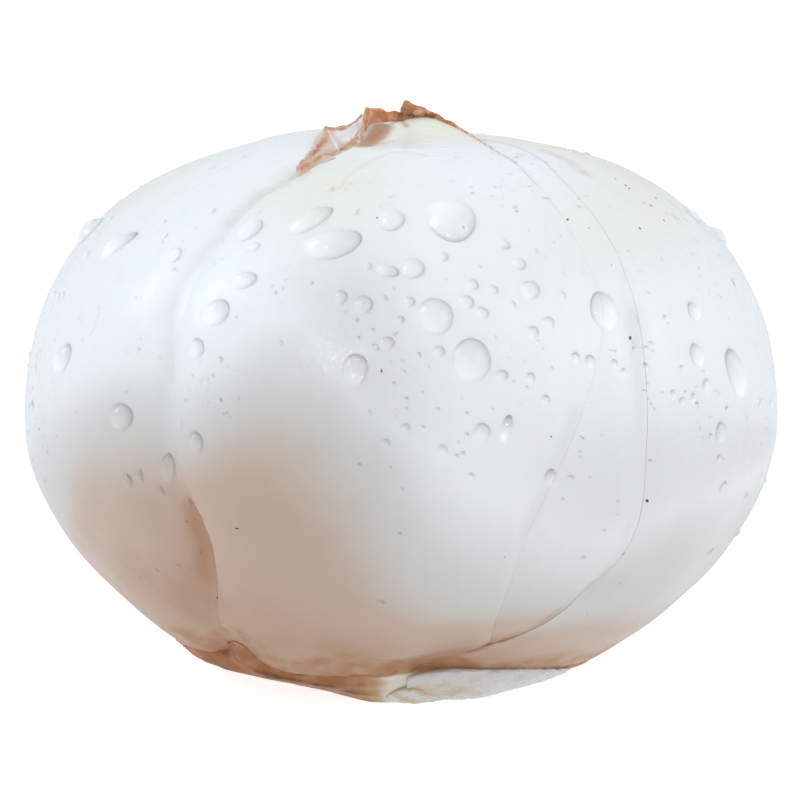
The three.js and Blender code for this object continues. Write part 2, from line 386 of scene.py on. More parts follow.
# %% [markdown]
# ## Where a leaf's skin lies
#
# The depth of a leaf under the form is the sum of what lies over it. On top of that come a few forms of
# this bulb: the tip of the front leaf stands up in a low beak, its left neighbour has a raised shoulder,
# and shallow valleys run along the seams. Each valley and each mark is a line of points in the front leaf's
# own degrees with a soft width in mm.

# %% Beaks, valleys and marks
BEAKS = [
    {"azimuth": -4, "along": 92, "across": 4, "spread": 3.4, "height": 1.3},
    {"azimuth": -4, "along": 88, "across": -4.5, "spread": 2.4, "height": 0.55},
]
LEFT_SHOULDER = {"azimuth": -80, "along": 73, "across": -8, "spread": 6, "height": 0.45}
VALLEYS = [
    {"line": [[14, -34.5], [-5, -31], [-12, -28.5], [-28, -30], [-48, -32]], "depth": 0.85, "width": 2.8},
    {"line": [[60, -16.5], [45, -26], [33, -31.5], [14, -33]], "depth": 0.45, "width": 2.0},
    {"line": [[-24, 38], [-30, 28.1], [-34, 22.3], [-36.4, 16.8], [-38, 8.5], [-39, 2]],
     "depth": 0.5, "width": 1.6},
    {"line": [[40, 39], [29, 41], [15, 42], [-4, 42], [-18, 40], [-26, 36]], "depth": 0.3, "width": 1.5},
    {"line": [[27, 33.7], [16, 32], [3, 27.5], [-8, 23.3], [-20, 20.5]], "depth": 0.07, "width": 1.1},
]
FRONT_MARKS = [
    {"line": [[51, -7.4], [57, -5.7], [62, -3.2], [66.5, -0.5], [67.5, 3], [65, 6.5]],
     "width": 0.36, "dry": 0.13, "depth": 0.09},
    {"line": [[73, -5.6], [78, -4.8], [86, -3.2]], "width": 1.15, "dry": 0.6, "depth": 0},
    {"line": [[74, -4.2], [77, -1.8]], "width": 1.3, "dry": 0.22, "depth": 0},
    {"line": [[80, -6.4], [84, -3.4], [88, -2], [91, -0.3], [87, 1.2]],
     "width": 0.4, "dry": 0.3, "depth": 0.1},
    {"line": [[-38.6, 7], [-37.2, 12], [-36.2, 16]], "width": 0.5, "dry": 0.3, "depth": 0},
    {"line": [[-36.6, 15], [-36.2, 16.4], [-34.8, 19.6]], "width": 0.36, "dry": 0.95, "depth": 0},
    {"line": [[-34.6, 21], [-33.6, 22.9]], "width": 0.36, "dry": 0.75, "depth": 0},
    {"line": [[-33.6, 22.9], [-31.5, 26.5], [-28.4, 30.7]], "width": 0.34, "dry": 0.28, "depth": 0},
    {"line": [[80, 26.5], [76.5, 30.5], [71, 33]], "width": 1.3, "dry": 0.18, "depth": 0},
    # The next mark is painted shade in the crease below the mouth, laid on as dryness.
    {"line": [[60, -15], [54, -20.5], [47, -25]], "width": 1.3, "dry": 0.17, "depth": 0},
]
print(len(VALLEYS), "valleys and", len(FRONT_MARKS), "marks")

# %% Bells and humps


def nearness(places, line, width):
    """A bell of that width round a line of points: 1 on the line, falling with the distance to its nearest
    segment. Places and line are in the same units."""
    line = np.array(line, float)
    start, run = line[:-1], np.diff(line, axis=0)
    offset = places[..., None, :] - start
    t = np.clip((offset * run).sum(-1) / (run * run).sum(-1), 0, 1)
    distance = np.linalg.norm(offset - t[..., None] * run, axis=-1).min(-1)
    return gauss(distance / width)


def front_place(direction):
    """Each direction's place on the front leaf, as [along, across] in degrees."""
    return np.stack(place_on(FRONT["azimuth"], direction), -1)


def beside(places, part):
    """The bell round a part's line on the front leaf, as wide in mm as the part says."""
    return nearness(places, part["line"], part["width"] / MM_PER_DEGREE)


def risen(direction, lift):
    """A smooth hump round a direction: height times a bell of the distance over the skin."""
    centre = direction_at(lift["azimuth"], np.array(lift["along"]), np.array(lift["across"]))
    angle = np.degrees(np.arccos(np.clip(direction @ centre, -1, 1)))
    return lift["height"] * gauss(angle * MM_PER_DEGREE / lift["spread"])


print("the beak at its top, mm:", risen(direction_at(-4, np.array(92), np.array(4)), BEAKS[0]).round(2))

# %% Leaf surfaces


def skin_form(direction):
    """The form of the whole bulb with its unevenness, its valleys and its raised left shoulder."""
    uneven = waves(direction * MEAN_RADIUS, 13, seed=1) + 0.5 * waves(direction * MEAN_RADIUS, 6, seed=2)
    sunk = UNEVENNESS * (1.2 - 0.6 * uneven)
    places = front_place(direction)
    for valley in VALLEYS:
        sunk = sunk + valley["depth"] * beside(places, valley)
    return form_radius(direction) - sunk + risen(direction, LEFT_SHOULDER)


def edges_at(leaf, along):
    """The two edges at along degrees. Over the last few degrees they close in a round tip."""
    left, right = leaf["left"](along), leaf["right"](along)
    t = np.clip((along - leaf["tip"] + ROUND_TIP) / ROUND_TIP, 0, 1)
    middle, half = (left + right) / 2, (right - left) / 2 * np.sqrt(1 - t * t)
    return middle - half, middle + half


def inside(leaf, along, across):
    """How far in from the leaf's edge a place lies, in mm, and negative outside."""
    left, right = edges_at(leaf, along)
    return np.minimum(np.minimum(right - across, across - left), leaf["tip"] - along) * MM_PER_DEGREE


def wall(leaf, along, inset):
    """The leaf's thickness: full in the body, thinner toward the tip, and fading to the edge."""
    thins = smoothstep((along - TIP_THINS_FROM) / TIP_THINS_OVER)
    body = leaf["thickness"] * (1 - (1 - TIP_THICKNESS_SHARE) * thins)
    return body - (body - leaf.get("edge", EDGE)) * gauss(np.maximum(inset, 0) / TAPER)


def buried(leaf, direction):
    """How deep the leaf's skin lies under the form: each leaf over it adds its own thickness, or beside its
    edge a dip that fades away."""
    depth = np.zeros(direction.shape[:-1])
    for cover in leaf["over"]:
        along, across = place_on(cover["azimuth"], direction)
        inset = inside(cover, along, across)
        under = wall(cover, along, inset) + GAP
        dip = (cover.get("edge", EDGE) + GAP) * gauss(np.minimum(inset, 0) / DIP_WIDTH)
        depth += np.where(inset > 0, under, dip)
    return depth


def leaf_points(leaf, along, across, share):
    """Points of a leaf, share 0 on its outer face and 1 on its inner face. Close to the edge the outer face
    bends down to the inner one on a quarter round, so that no notch is left under the edge."""
    direction = direction_at(leaf["azimuth"], along, across)
    inset = np.maximum(inside(leaf, along, across), 0)
    lip = LIP * gauss(inset / LIP_WIDTH)
    bend = np.clip(1 - inset / EDGE_ROUND, 0, 1)
    pinch = 1 - np.sqrt(1 - bend * bend)
    depth = lip + (wall(leaf, along, inset) - lip) * (pinch + share * (1 - pinch))
    radius = skin_form(direction) - buried(leaf, direction) - depth
    if leaf is FRONT:
        radius = radius + sum(risen(direction, beak) for beak in BEAKS)
        for mark in FRONT_MARKS:
            radius = radius - mark["depth"] * beside(front_place(direction), mark) * (1 - share)
    return HEART + direction * radius[..., None]


middle_of_front = [leaf_points(FRONT, np.array(0.0), np.array(0.0), share) for share in (0, 1)]
print("front leaf at its middle, outer and inner face, mm:", np.array(middle_of_front).round(2).tolist())

# %% The outermost skin


def skin_at(direction):
    """The outermost skin in each direction: the outer face of the uppermost leaf that reaches there."""
    point = HEART + direction * (skin_form(direction) - EDGE)[..., None]
    for leaf in OUTER_LEAVES[::-1]:
        along, across = place_on(leaf["azimuth"], direction)
        here = inside(leaf, along, across) > 0
        point[here] = leaf_points(leaf, along[here], across[here], 0)
    return point


def towards(azimuth, elevation):
    """The direction at an azimuth from the front and an elevation, in degrees, seen from the heart."""
    turn, rise = np.radians(azimuth), np.radians(elevation)
    return np.stack([np.cos(rise) * np.sin(turn), -np.cos(rise) * np.cos(turn), np.sin(rise)], -1)


print("skin straight ahead, mm:", skin_at(towards(np.zeros(1), np.zeros(1))).round(2))

# %% [markdown]
# ## The foot of a leaf
#
# Every leaf grows out of the basal plate, a low cone inside the bulb. Each column of a leaf starts where
# its wall has just sunk into that cone, which is found by halving for all columns at once.

# %% Leaf feet
PLATE_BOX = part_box("basal_plate")
PLATE_CENTRE = round((PLATE_BOX[0][0] + PLATE_BOX[1][0]) / 2 / MM, 2)
PLATE_TOP = PLATE_BOX[1][2] / MM
PLATE_RIM_RADIUS = (PLATE_BOX[1][0] - PLATE_BOX[0][0]) / 2 / MM
PLATE_RIM_HEIGHT = 3.2
PLATE_TOP_POWER = 1.3
BUD_FOOT_RADIUS = 6
FOOT_SINKS = 0.6
LOWEST_START = -78
FOOT_HALVINGS = 18


def plate_top(radius):
    """Height of the plate's cone at a radius: from its top it falls as the radius to the power 1.3."""
    fall = (PLATE_TOP - PLATE_RIM_HEIGHT) * (radius / PLATE_RIM_RADIUS) ** PLATE_TOP_POWER
    return PLATE_TOP - fall


def foot_along(leaf, share_across):
    """The along at which each column of a leaf comes out of the plate."""
    lower, upper = np.full(share_across.shape, float(LOWEST_START)), np.zeros(share_across.shape)
    for _ in range(FOOT_HALVINGS):
        along = (lower + upper) / 2
        left, right = edges_at(leaf, along)
        point = leaf_points(leaf, along, left + (right - left) * share_across, 0.5)
        radius = np.hypot(point[:, 0] - PLATE_CENTRE, point[:, 1])
        clear = (radius > BUD_FOOT_RADIUS) & (point[:, 2] > plate_top(radius) - FOOT_SINKS)
        upper, lower = np.where(clear, along, upper), np.where(clear, lower, along)
    return upper


print(f"plate: centre {PLATE_CENTRE}, rim {PLATE_RIM_RADIUS:.1f}, top {PLATE_TOP:.1f} mm")

# %% [markdown]
# ## Colour that grows with the leaf
#
# A fresh leaf is white, but not evenly. Its shoulders keep a breath of yellow-green, its lower part is
# flushed with pink and tan, more on one side, and wherever an edge has dried it turns tan and then brown.
# The flush is partly painted shade: above it painted shade greys the flesh, low down and beside seams it
# deepens toward brown, and grey painted shade lies on the right flank and the middle of the front leaf.
# These three are worked out at each point from where it lies, and the finish reads them as attributes. A
# fourth says where two leaves thin out against each other, because light that sinks in there would come out
# inside the bulb.

# %% Where the colours lie
# Painted shade and flush: going down a leaf, painted shade greys the flesh as far as this wavy line, and
# below it a pink-tan flush follows that is partly painted shade. The softness is how many mm the change
# takes.
SHADE_AND_FLUSH_TOP = through([[-180, 15], [-110, 14], [-85, 13], [-72, 17.5], [-60, 21.5], [-50, 23.6], [-42, 24.4],
                     [-34, 25.2], [-28, 26.8], [-20, 28.4], [-12, 27.4], [-3, 20.5], [5, 13], [13, 9.5],
                     [30, 10.5], [60, 10], [90, 12], [140, 16], [180, 15]])
SHADE_AND_FLUSH_SOFT = through([[-180, 25], [-85, 25], [-60, 18], [-50, 16], [-28, 16], [-20, 20], [-12, 25],
                      [180, 25]])
# Painted shade: grey patches over the middle of the front leaf and the right flank, and soft grey lines along
# three seams.
SHADED = [
    {"line": [[14, -1], [28, -4]], "width": 6, "amount": 0.3},
    {"line": [[0, 37], [2, 50], [4, 76]], "width": 9, "amount": 0.28},
    {"line": [[47, -24.5], [38, -29.6], [30, -32.3], [14, -33.2], [2, -32]], "width": 0.9, "amount": 0.2},
    {"line": [[32, 39.5], [15, 41.2], [-4, 41.2], [-18, 39.4]], "width": 1.3, "amount": 0.25},
    {"line": [[12, 30], [3, 27], [-8, 22.6], [-20, 20]], "width": 1.2, "amount": 0.26},
]
# Flush that is partly painted shade: over the last mm above the base all round, and deeper still low on the
# leaves, to heights that differ round the bulb.
BASE_FLUSH_AND_SHADE = {"height": 9, "amount": 0.95}
LOW_BLUSH_AND_SHADE = through([[-180, 6], [-90, 9], [-60, 17], [-45, 15], [-26, 17], [-19, 14], [-12, 11], [5, 6],
                     [20, 6], [45, 7.5], [90, 8], [180, 6]])
LOW_BLUSH_AND_SHADE_AMOUNT = 0.6
# Painted shade that deepens the flush toward brown beside seams: in the valley beside the front leaf's left
# edge, and along its lower right seam on both leaves.
SEAM_SHADES = [
    {"on": "left_scale", "line": [[-5, -29], [-12, -27.6], [-19, -28.4]], "width": 1.4, "amount": 0.65},
    {"on": "left_scale", "line": [[-10, -30.5], [-28, -32], [-48, -34]], "width": 3, "amount": 0.12},
    {"on": "right_front_scale", "line": [[-31, 21], [-30, 26], [-36, 32]], "width": 4.5, "amount": 0.65},
    {"on": "front_scale", "line": [[-31, 17], [-30, 22]], "width": 4.5, "amount": 0.35},
]
THIN_WIDTH = 0.7
FRESH_FROM, FRESH_OVER = 33, 14
CROWN_FROM, CROWN_OVER = 42, 5
LESS_FRESH = {"azimuth": -62, "width": 30, "amount": 0.75}
BASE_LINE = through([[-180, 3.6], [-125, 4.0], [-90, 4.0], [-70, 3.9], [-59, 4.4], [-47, 5.1], [-39, 5.8],
                     [-34, 5.9], [-31.5, 4.6], [-25, 3.2], [-11.5, 3.85], [2, 4.4], [9, 4.8], [17, 4.3],
                     [31, 3.7], [54, 2.3], [66, 2.6], [90, 3.4], [180, 3.6]])
BASE_BAND = through([[-180, 2.9], [-60, 2.9], [-32, 3.3], [-14, 4.2], [-4, 2.6], [4, 1.6], [22, 1.6],
                     [36, 2.2], [60, 2.9], [180, 2.9]])
BASE_DRYNESS = 0.68
SKIRT_DRYNESS = {"height": 11, "amount": 0.2}
TORN_FRONT = {"azimuth": 8, "width": 24}
EDGE_DRY_FROM, EDGE_DRY_OVER = 64, 10
EDGE_DRY_WIDTH = 0.3
FRONT_EDGE_DRYNESS, OTHER_EDGE_DRYNESS = 0.8, 0.1
# Where painted shade has fully greyed the flesh and the flush begins, mm high:
print("the flush ends, mm high, left, front and right:", SHADE_AND_FLUSH_TOP([-60, 0, 60]).round(1))

# %% Flush, freshness and dryness


def azimuth_of(point):
    """Degrees round the bulb's axis from the front toward +X."""
    return np.degrees(np.arctan2(point[..., 0], -point[..., 1]))


def flush(leaf, point):
    """0 where the leaf is white and 1 where it is flushed and shaded: below a wavy line that is highest at
    the left, where painted shade first greys the flesh and then a pink-tan flush follows that is partly
    painted shade; over the last few millimetres above the base all round; and as grey painted shade in the
    seams, on the right flank and in the middle of the front leaf. Low down it goes on above 1, where the
    flush deepens toward brown, partly as a tint and partly as painted shade, and beside a few edges as
    painted shade."""
    azimuth = azimuth_of(point)
    line = SHADE_AND_FLUSH_TOP(azimuth) + 0.9 * waves(point, 16, seed=5)
    side = np.clip((line - point[..., 2]) / SHADE_AND_FLUSH_SOFT(azimuth) + 0.5, 0, 1)
    places = front_place(unit(point - HEART))
    for part in SHADED:
        side = np.maximum(side, part["amount"] * beside(places, part))
    above = point[..., 2] - BASE_LINE(azimuth)
    side = np.maximum(side, BASE_FLUSH_AND_SHADE["amount"] * smoothstep(1 - above / BASE_FLUSH_AND_SHADE["height"]))
    side = side + LOW_BLUSH_AND_SHADE_AMOUNT * smoothstep(1 - above / LOW_BLUSH_AND_SHADE(azimuth))
    for blush_and_shade in [blush_and_shade for blush_and_shade in SEAM_SHADES if blush_and_shade["on"] == leaf["name"]]:
        side = side + blush_and_shade["amount"] * beside(places, blush_and_shade) * smoothstep(side)
    return side


def around(azimuth, spot):
    """A bell of the azimuth round a spot's, as wide in degrees as the spot says."""
    return gauss((azimuth - spot["azimuth"]) / spot["width"])


def freshness(point):
    """The yellow-green of the shoulders: from nothing at mid height to full on the crown, in soft patches
    that run together round the tip, and less of it at the left."""
    height = point[..., 2]
    crown = 0.2 * smoothstep((height - CROWN_FROM) / CROWN_OVER)
    patches = 0.45 + 0.35 * waves(point, 18, seed=6) + crown
    left = 1 - LESS_FRESH["amount"] * around(azimuth_of(point), LESS_FRESH)
    return smoothstep((height - FRESH_FROM) / FRESH_OVER) * np.clip(patches, 0, 1) * left


def base_dryness(point):
    """The band of dry flesh just above the torn skin of the base, and a fainter and higher one round it,
    which is left out at the front, where the flesh was torn not long ago."""
    azimuth = azimuth_of(point)
    above = point[..., 2] - BASE_LINE(azimuth) + 0.25 * waves(point, 5, seed=7)
    skirt = SKIRT_DRYNESS["amount"] * smoothstep(1 - above / SKIRT_DRYNESS["height"])
    skirt = skirt * (1 - around(azimuth, TORN_FRONT))
    return np.maximum(BASE_DRYNESS * smoothstep(1.5 - 1.5 * above / BASE_BAND(azimuth)), skirt)


def thinness(leaf, direction, inset):
    """1 where two leaves thin out against each other, beside a leaf's own edge and the edges over it, else
    0."""
    thin = gauss(inset / THIN_WIDTH)
    for cover in leaf["over"]:
        reach = inside(cover, *place_on(cover["azimuth"], direction))
        thin = np.maximum(thin, gauss(reach / THIN_WIDTH))
    return thin


def leaf_dryness(leaf, direction, point, inset, along):
    """How dry a leaf is at each point: its base, the rim of its tip, most of all on the front leaf, and a
    few marks round the front leaf's tip and foot, which run on over the leaves beside it."""
    rim = smoothstep((along - EDGE_DRY_FROM) / EDGE_DRY_OVER) * gauss(inset / EDGE_DRY_WIDTH)
    rim = (FRONT_EDGE_DRYNESS if leaf is FRONT else OTHER_EDGE_DRYNESS) * rim
    dry = np.maximum(base_dryness(point), rim)
    for mark in FRONT_MARKS if leaf in OUTER_LEAVES else []:
        dry = np.maximum(dry, mark["dry"] * beside(front_place(direction), mark))
    return np.clip(dry, 0, 1)


# Painted shade and flush low on the front, from left to right:
chin = skin_at(towards(np.array([-50.0, 0, 50]), np.full(3, -20.0)))
print("flush low on the front, left to right:", flush(FRONT, chin).round(2))

# %% [markdown]
# ## Growing a leaf
#
# A leaf is a stack of closed rings: across its outer face and back across its inner face. Rings and columns
# crowd together at the edges, where the surface bends most. The stack is closed by the tip point above and
# by a flat end inside the plate below.

# %% Leaf meshes
EDGE_CROWDING = 0.9
TIP_CROWDING = 0.7
LEAF_SIZES = {
    "front_scale": (250, 270, 36), "right_scale": (190, 190, 30), "left_scale": (280, 190, 30),
    "back_scale": (150, 150, 24), "right_front_scale": (300, 170, 24), "back_left_scale": (130, 130, 18),
}
INNER_LEAF_SIZE = (34, 60, 14)


def crowded(t, amount):
    """Even steps moved together at both ends: t - amount * sin(2 pi t) / (2 pi)."""
    return t - amount * np.sin(2 * np.pi * t) / (2 * np.pi)


def grow_leaf(leaf, columns, rows, inner_columns):
    """The closed mesh of one leaf, with its attributes."""
    outer = crowded(np.linspace(0, 1, columns + 1), EDGE_CROWDING)
    inner = crowded(np.linspace(1, 0, inner_columns + 1), EDGE_CROWDING)[1:-1]
    ring = np.concatenate([outer, inner])
    face = np.concatenate([np.zeros(len(outer)), np.ones(len(inner))])
    t = np.linspace(0, 1, rows + 1)[:-1, None]
    t = t + TIP_CROWDING * np.sin(np.pi * t) / np.pi
    foot = foot_along(leaf, ring)
    along = foot + (leaf["tip"] - foot) * t
    left, right = edges_at(leaf, along)
    across = left + (right - left) * ring
    tip_across = edges_at(leaf, np.array([leaf["tip"]]))[0]
    along = np.concatenate([along.ravel(), [leaf["tip"], foot.mean()]])
    across = np.concatenate([across.ravel(), tip_across, [across[0].mean()]])
    share = np.concatenate([np.tile(face, rows), [0.5, 0.5]])
    points = leaf_points(leaf, along, across, share)
    direction = direction_at(leaf["azimuth"], along, across)
    inset = np.maximum(inside(leaf, along, across), 0)
    dry = leaf_dryness(leaf, direction, points, inset, along)
    grain = np.stack([across * MM_PER_DEGREE, along * MM_PER_DEGREE, share], -1)
    attributes = {"flush": flush(leaf, points), "fresh": freshness(points), "dry": dry,
                  "thin": thinness(leaf, direction, inset), "grain": grain}
    quads, base_fan, tip_fan = closed_rings(rows, len(ring), len(points) - 1, len(points) - 2)
    return add_piece(leaf["name"] + "_flesh", points, [quads, tip_fan, base_fan], attributes)


leaf_pieces = {}
for leaf in LEAVES:
    fineness = LEAF_SIZES.get(leaf["name"], INNER_LEAF_SIZE)
    leaf_pieces[leaf["name"]] = grow_leaf(leaf, *fineness)

# %% [markdown]
# ## The bud
#
# At the heart sits next year's bud, a plain pointed egg on the plate. It is a profile turned round the
# axis.

# %% Bud
BUD_PROFILE = through([[0, 6], [0.25, 12.6], [0.5, 14.2], [0.72, 11], [0.88, 6], [1, 0.4]])
BUD_HEIGHTS = through([[0, 0], [0.25, 0.18], [0.5, 0.45], [0.72, 0.76], [0.88, 0.93], [1, 1]])
BUD_SINKS = 0.9
BUD_FIT = 0.98
BUD_RINGS, BUD_SIDES = 40, 64


def turned(radii, heights, sides, centre, ripple):
    """Points of a profile turned round a vertical axis: each radius is carried round at its height. ripple
    scales the radius at each turn."""
    angle = np.linspace(0, 2 * np.pi, sides, endpoint=False)
    radius = radii[:, None] * ripple(angle)
    x, y = centre + radius * np.sin(angle), -radius * np.cos(angle)
    return np.stack([x, y, np.broadcast_to(heights[:, None], x.shape)], -1)


def capped(grid):
    """A grid of rings with a point at each end, in the middle of its ring. Returns points and faces."""
    rings, size = grid.shape[:2]
    ends = np.stack([grid[0].mean(0), grid[-1].mean(0)])
    points = np.concatenate([grid.reshape(-1, 3), ends])
    return points, closed_rings(rings, size, rings * size, rings * size + 1)


def lobed(angle):
    """A scale for a radius that rises and falls by 2% in five soft lobes."""
    return 1 + 0.02 * np.cos(5 * angle)


bud_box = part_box("bud")
bud_low, bud_high = bud_box[0][2] / MM - BUD_SINKS, bud_box[1][2] / MM
bud_share = np.linspace(0, 1, BUD_RINGS)
bud_heights = bud_low + (bud_high - bud_low) * BUD_HEIGHTS(bud_share)
bud_grid = turned(BUD_PROFILE(bud_share) * BUD_FIT, bud_heights, BUD_SIDES, PLATE_CENTRE, lobed)
bud = add_piece("bud_flesh", *capped(bud_grid))

# %% [markdown]
# ## The basal plate
#
# The plate is a short cone of stem. Its roots were cut off, which left a flat face that the bulb stands on,
# and its flank is wrapped in torn brown skin that ends in a wavy edge over the leaf feet. It is one closed
# surface: over the cut face, up the flank to that edge, a turn inwards under it, and up the hidden cone.

# %% Outlines of the plate
FLANK = through([[0, 0], [1.9, 2.75], [2.7, 3.9], [3.9, 5.3], [5.1, 6.4], [7, 8.0]])
FOOT_RADIUS = 15.4
CHORDS = [
    {"faces": -47.5, "distance": 11.6},
    {"faces": 48, "distance": 14.4},
    {"faces": 140, "distance": 14.6},
]
FLANK_ROUNDS_BY = 2.4
FLANK_HALVINGS = 12


def foot_radius(azimuth):
    """Radius of the cut face: a round one with straight slices where the knife took the roots off."""
    turn = np.radians(azimuth)
    radius = FOOT_RADIUS + 0.12 * waves(np.stack([np.sin(turn), np.cos(turn)], -1) * 15, 6, seed=11)
    for chord in CHORDS:
        turn = np.cos(np.radians(azimuth - chord["faces"]))
        slice_radius = chord["distance"] / np.maximum(turn, 0.05)
        radius = -np.log(np.exp(-radius * 3) + np.exp(-slice_radius * 3)) / 3
    return radius


def flank_radius(azimuth, height):
    """Radius of the flank: it widens fast from the cut face until it meets the form of the leaves."""
    foot = foot_radius(azimuth)
    share = height / FLANK_ROUNDS_BY
    share = smoothstep(share) * 0.5 + np.clip(share, 0, 1) * 0.5
    return foot + (FOOT_RADIUS - foot) * share + FLANK(height)


def leaf_radius(azimuth, height):
    """Distance from the plate's axis to the skin of the leaves at a height, found by halving for all places
    at once, from low on the keel up to the heart."""
    lower, upper = np.full(azimuth.shape, -75.0), np.zeros(azimuth.shape)
    for _ in range(FLANK_HALVINGS):
        middle = (lower + upper) / 2
        point = skin_at(towards(azimuth, middle))
        above = point[..., 2] > height
        upper, lower = np.where(above, middle, upper), np.where(above, lower, middle)
    return np.hypot(point[..., 0] - PLATE_CENTRE, point[..., 1])


def ring_point(azimuth, radius, height):
    """A point at a radius and height round the plate's axis."""
    a = np.radians(azimuth)
    return np.stack([PLATE_CENTRE + radius * np.sin(a), -radius * np.cos(a), height], -1)


print("cut face, mm across:", 2 * round(float(foot_radius(np.linspace(-180, 180, 90)).mean()), 2))

# %% Folds in the torn skin
FOLDS = [
    {"line": [[-62, 5.6], [-52, 4.4], [-46, 3.8]], "width": 0.3, "height": 0.16},
    {"line": [[-44, 4.6], [-36, 3.2], [-24, 2.2], [-12, 1.9]], "width": 0.35, "height": 0.14},
    {"line": [[-70, 3.0], [-58, 2.0], [-44, 1.6]], "width": 0.4, "height": 0.12},
    {"line": [[-30, 1.2], [-14, 1.4], [-4, 1.1], [4, 0.5]], "width": 0.28, "height": 0.2},
    {"line": [[-120, 2.6], [-96, 2.2], [-82, 3.0]], "width": 0.4, "height": 0.25},
    {"line": [[96, 2.4], [120, 1.8], [150, 2.4]], "width": 0.4, "height": 0.25},
    {"line": [[-178, 2.0], [-160, 2.6], [-140, 1.8]], "width": 0.4, "height": 0.22},
]
MM_PER_TURN_DEGREE = 0.34
FLANK_SLOPE = 1.5


def flank_place(azimuth, height):
    """Azimuth and height as two lengths in mm over the flank."""
    return np.stack([azimuth * MM_PER_TURN_DEGREE, height * FLANK_SLOPE], -1)


def near_flank_line(places, mark, width):
    """The bell of that width in mm round a mark's line of [azimuth, height] points on the flank."""
    return nearness(places, flank_place(*np.array(mark["line"], float).T), width)


def flank_relief(azimuth, height):
    """Folds and crinkles of the skin on the flank, in mm outward."""
    places = flank_place(azimuth, height)
    relief = 0.03 * waves(places, 1.6, seed=12) + 0.05 * waves(places * [0.35, 1], 1.3, seed=13)
    for fold in FOLDS:
        relief = relief + fold["height"] * near_flank_line(places, fold, fold["width"])
    return relief


print(len(FOLDS), "folds, the highest", max(fold["height"] for fold in FOLDS), "mm")

# %% Flank
SKIN_THICKNESS = 0.32
EDGE_SINKS = 0.28
PLATE_SIDES = 360
FLANK_ROWS = 34
FLANK_STARTS = 0.06

azimuth = np.linspace(-180, 180, PLATE_SIDES, endpoint=False)
edge_height = BASE_LINE(azimuth) + 0.1 * waves(flank_place(azimuth, 0 * azimuth), 2.2, seed=14)
rows = np.linspace(0, 1, FLANK_ROWS)[:, None]
flank_heights = FLANK_STARTS + (edge_height - FLANK_STARTS) * rows
flank_azimuth = azimuth + 0 * flank_heights
relief = flank_relief(flank_azimuth, flank_heights) * smoothstep(rows * 8) * (1 - 0.6 * rows**4)
bare = flank_radius(flank_azimuth, flank_heights)
on_leaf = smoothstep((rows - 0.4) / 0.5)
flank_r = bare + (leaf_radius(flank_azimuth, flank_heights) - bare) * on_leaf
flank_r = flank_r + SKIN_THICKNESS * smoothstep(rows * 5) * (1 - 0.85 * rows**3)
flank_r = flank_r - EDGE_SINKS * smoothstep(rows * 4 - 3)
flank = ring_point(flank_azimuth, flank_r + relief, flank_heights)
print("flank, mm: widest radius", flank_r.max().round(2), "highest edge", edge_height.max().round(2))

# %% Cut face, tucked edge and hidden cone
CUT_SHARES = np.array([0.12, 0.3, 0.5, 0.68, 0.84, 0.95, 0.99])[:, None]
DISH_DEPTH = 0.35
SCAR_DEPTH = 0.1
TURNS_IN = np.array([0.6, 1.4, 2.6])[:, None]
CONE_RADII = np.array([16.5, 13, 9.5, 6, 3, 0.8])[:, None]

cut_azimuth = azimuth + 0 * CUT_SHARES
scars = SCAR_DEPTH * waves(ring_point(cut_azimuth, CUT_SHARES * 15, 0 * cut_azimuth), 2.5, seed=15)
cut_dish = DISH_DEPTH * smoothstep((1 - CUT_SHARES) * 3)
cut_heights = np.maximum(cut_dish + scars * smoothstep((1 - CUT_SHARES) * 4), 0)
cut_face = ring_point(cut_azimuth, foot_radius(cut_azimuth) * CUT_SHARES, cut_heights)
tucked_radii = flank_r[-1] - SKIN_THICKNESS - TURNS_IN
tucked = ring_point(azimuth + 0 * TURNS_IN, tucked_radii, edge_height - 0.12 * TURNS_IN)
cone_heights = plate_top(CONE_RADII) - 0.05 + 0 * azimuth
cone = ring_point(azimuth + 0 * CONE_RADII, CONE_RADII + 0 * azimuth, cone_heights)
plate_points, plate_faces = capped(np.concatenate([cut_face, flank, tucked, cone]))
print("cut face is dished by, mm:", cut_heights.max().round(2))

# %% Plate
CUT_DRYNESS = 0.3


def skin_dryness(azimuth, height):
    """Brown skin round most of the flank, darker toward the cut and in its folds and tan at its upper edge,
    and pale wet flesh at the front where the skin is torn away."""
    pale = smoothstep((azimuth + 12) / 14) * (1 - smoothstep((azimuth - 60) / 10))
    share = np.clip(height / BASE_LINE(azimuth), 0, 1)
    pale = pale * (1 - smoothstep((share - 0.78) / 0.14))
    brown = 0.88 - 0.22 * share**2 + 0.12 * (1 - share) ** 3
    for fold in FOLDS:
        brown = brown + 0.2 * near_flank_line(flank_place(azimuth, height), fold, fold["width"] * 0.8)
    return np.clip(brown * (1 - pale) + 0.12 * pale, 0, 1)


plate_azimuth = azimuth_of(plate_points - [PLATE_CENTRE, 0, 0])
on_flank = np.linalg.norm(plate_points[:, :2] - [PLATE_CENTRE, 0], axis=1) > 10
plate_dry = np.where(on_flank, skin_dryness(plate_azimuth, plate_points[:, 2]), CUT_DRYNESS)
basal_plate = add_piece("basal_plate_flesh", plate_points, plate_faces, {"dry": plate_dry})

# %% [markdown]
# ## Torn flesh at the base
#
# At the front right the stump of an older leaf was torn off with the roots. It left a wet white ledge along
# the flank and a small rounded stub beside it. Each is a bar carried along the flank with a squarish round
# section that swells and closes at both ends.

# %% A bar on the flank
LOWEST_HEIGHT = 0.08


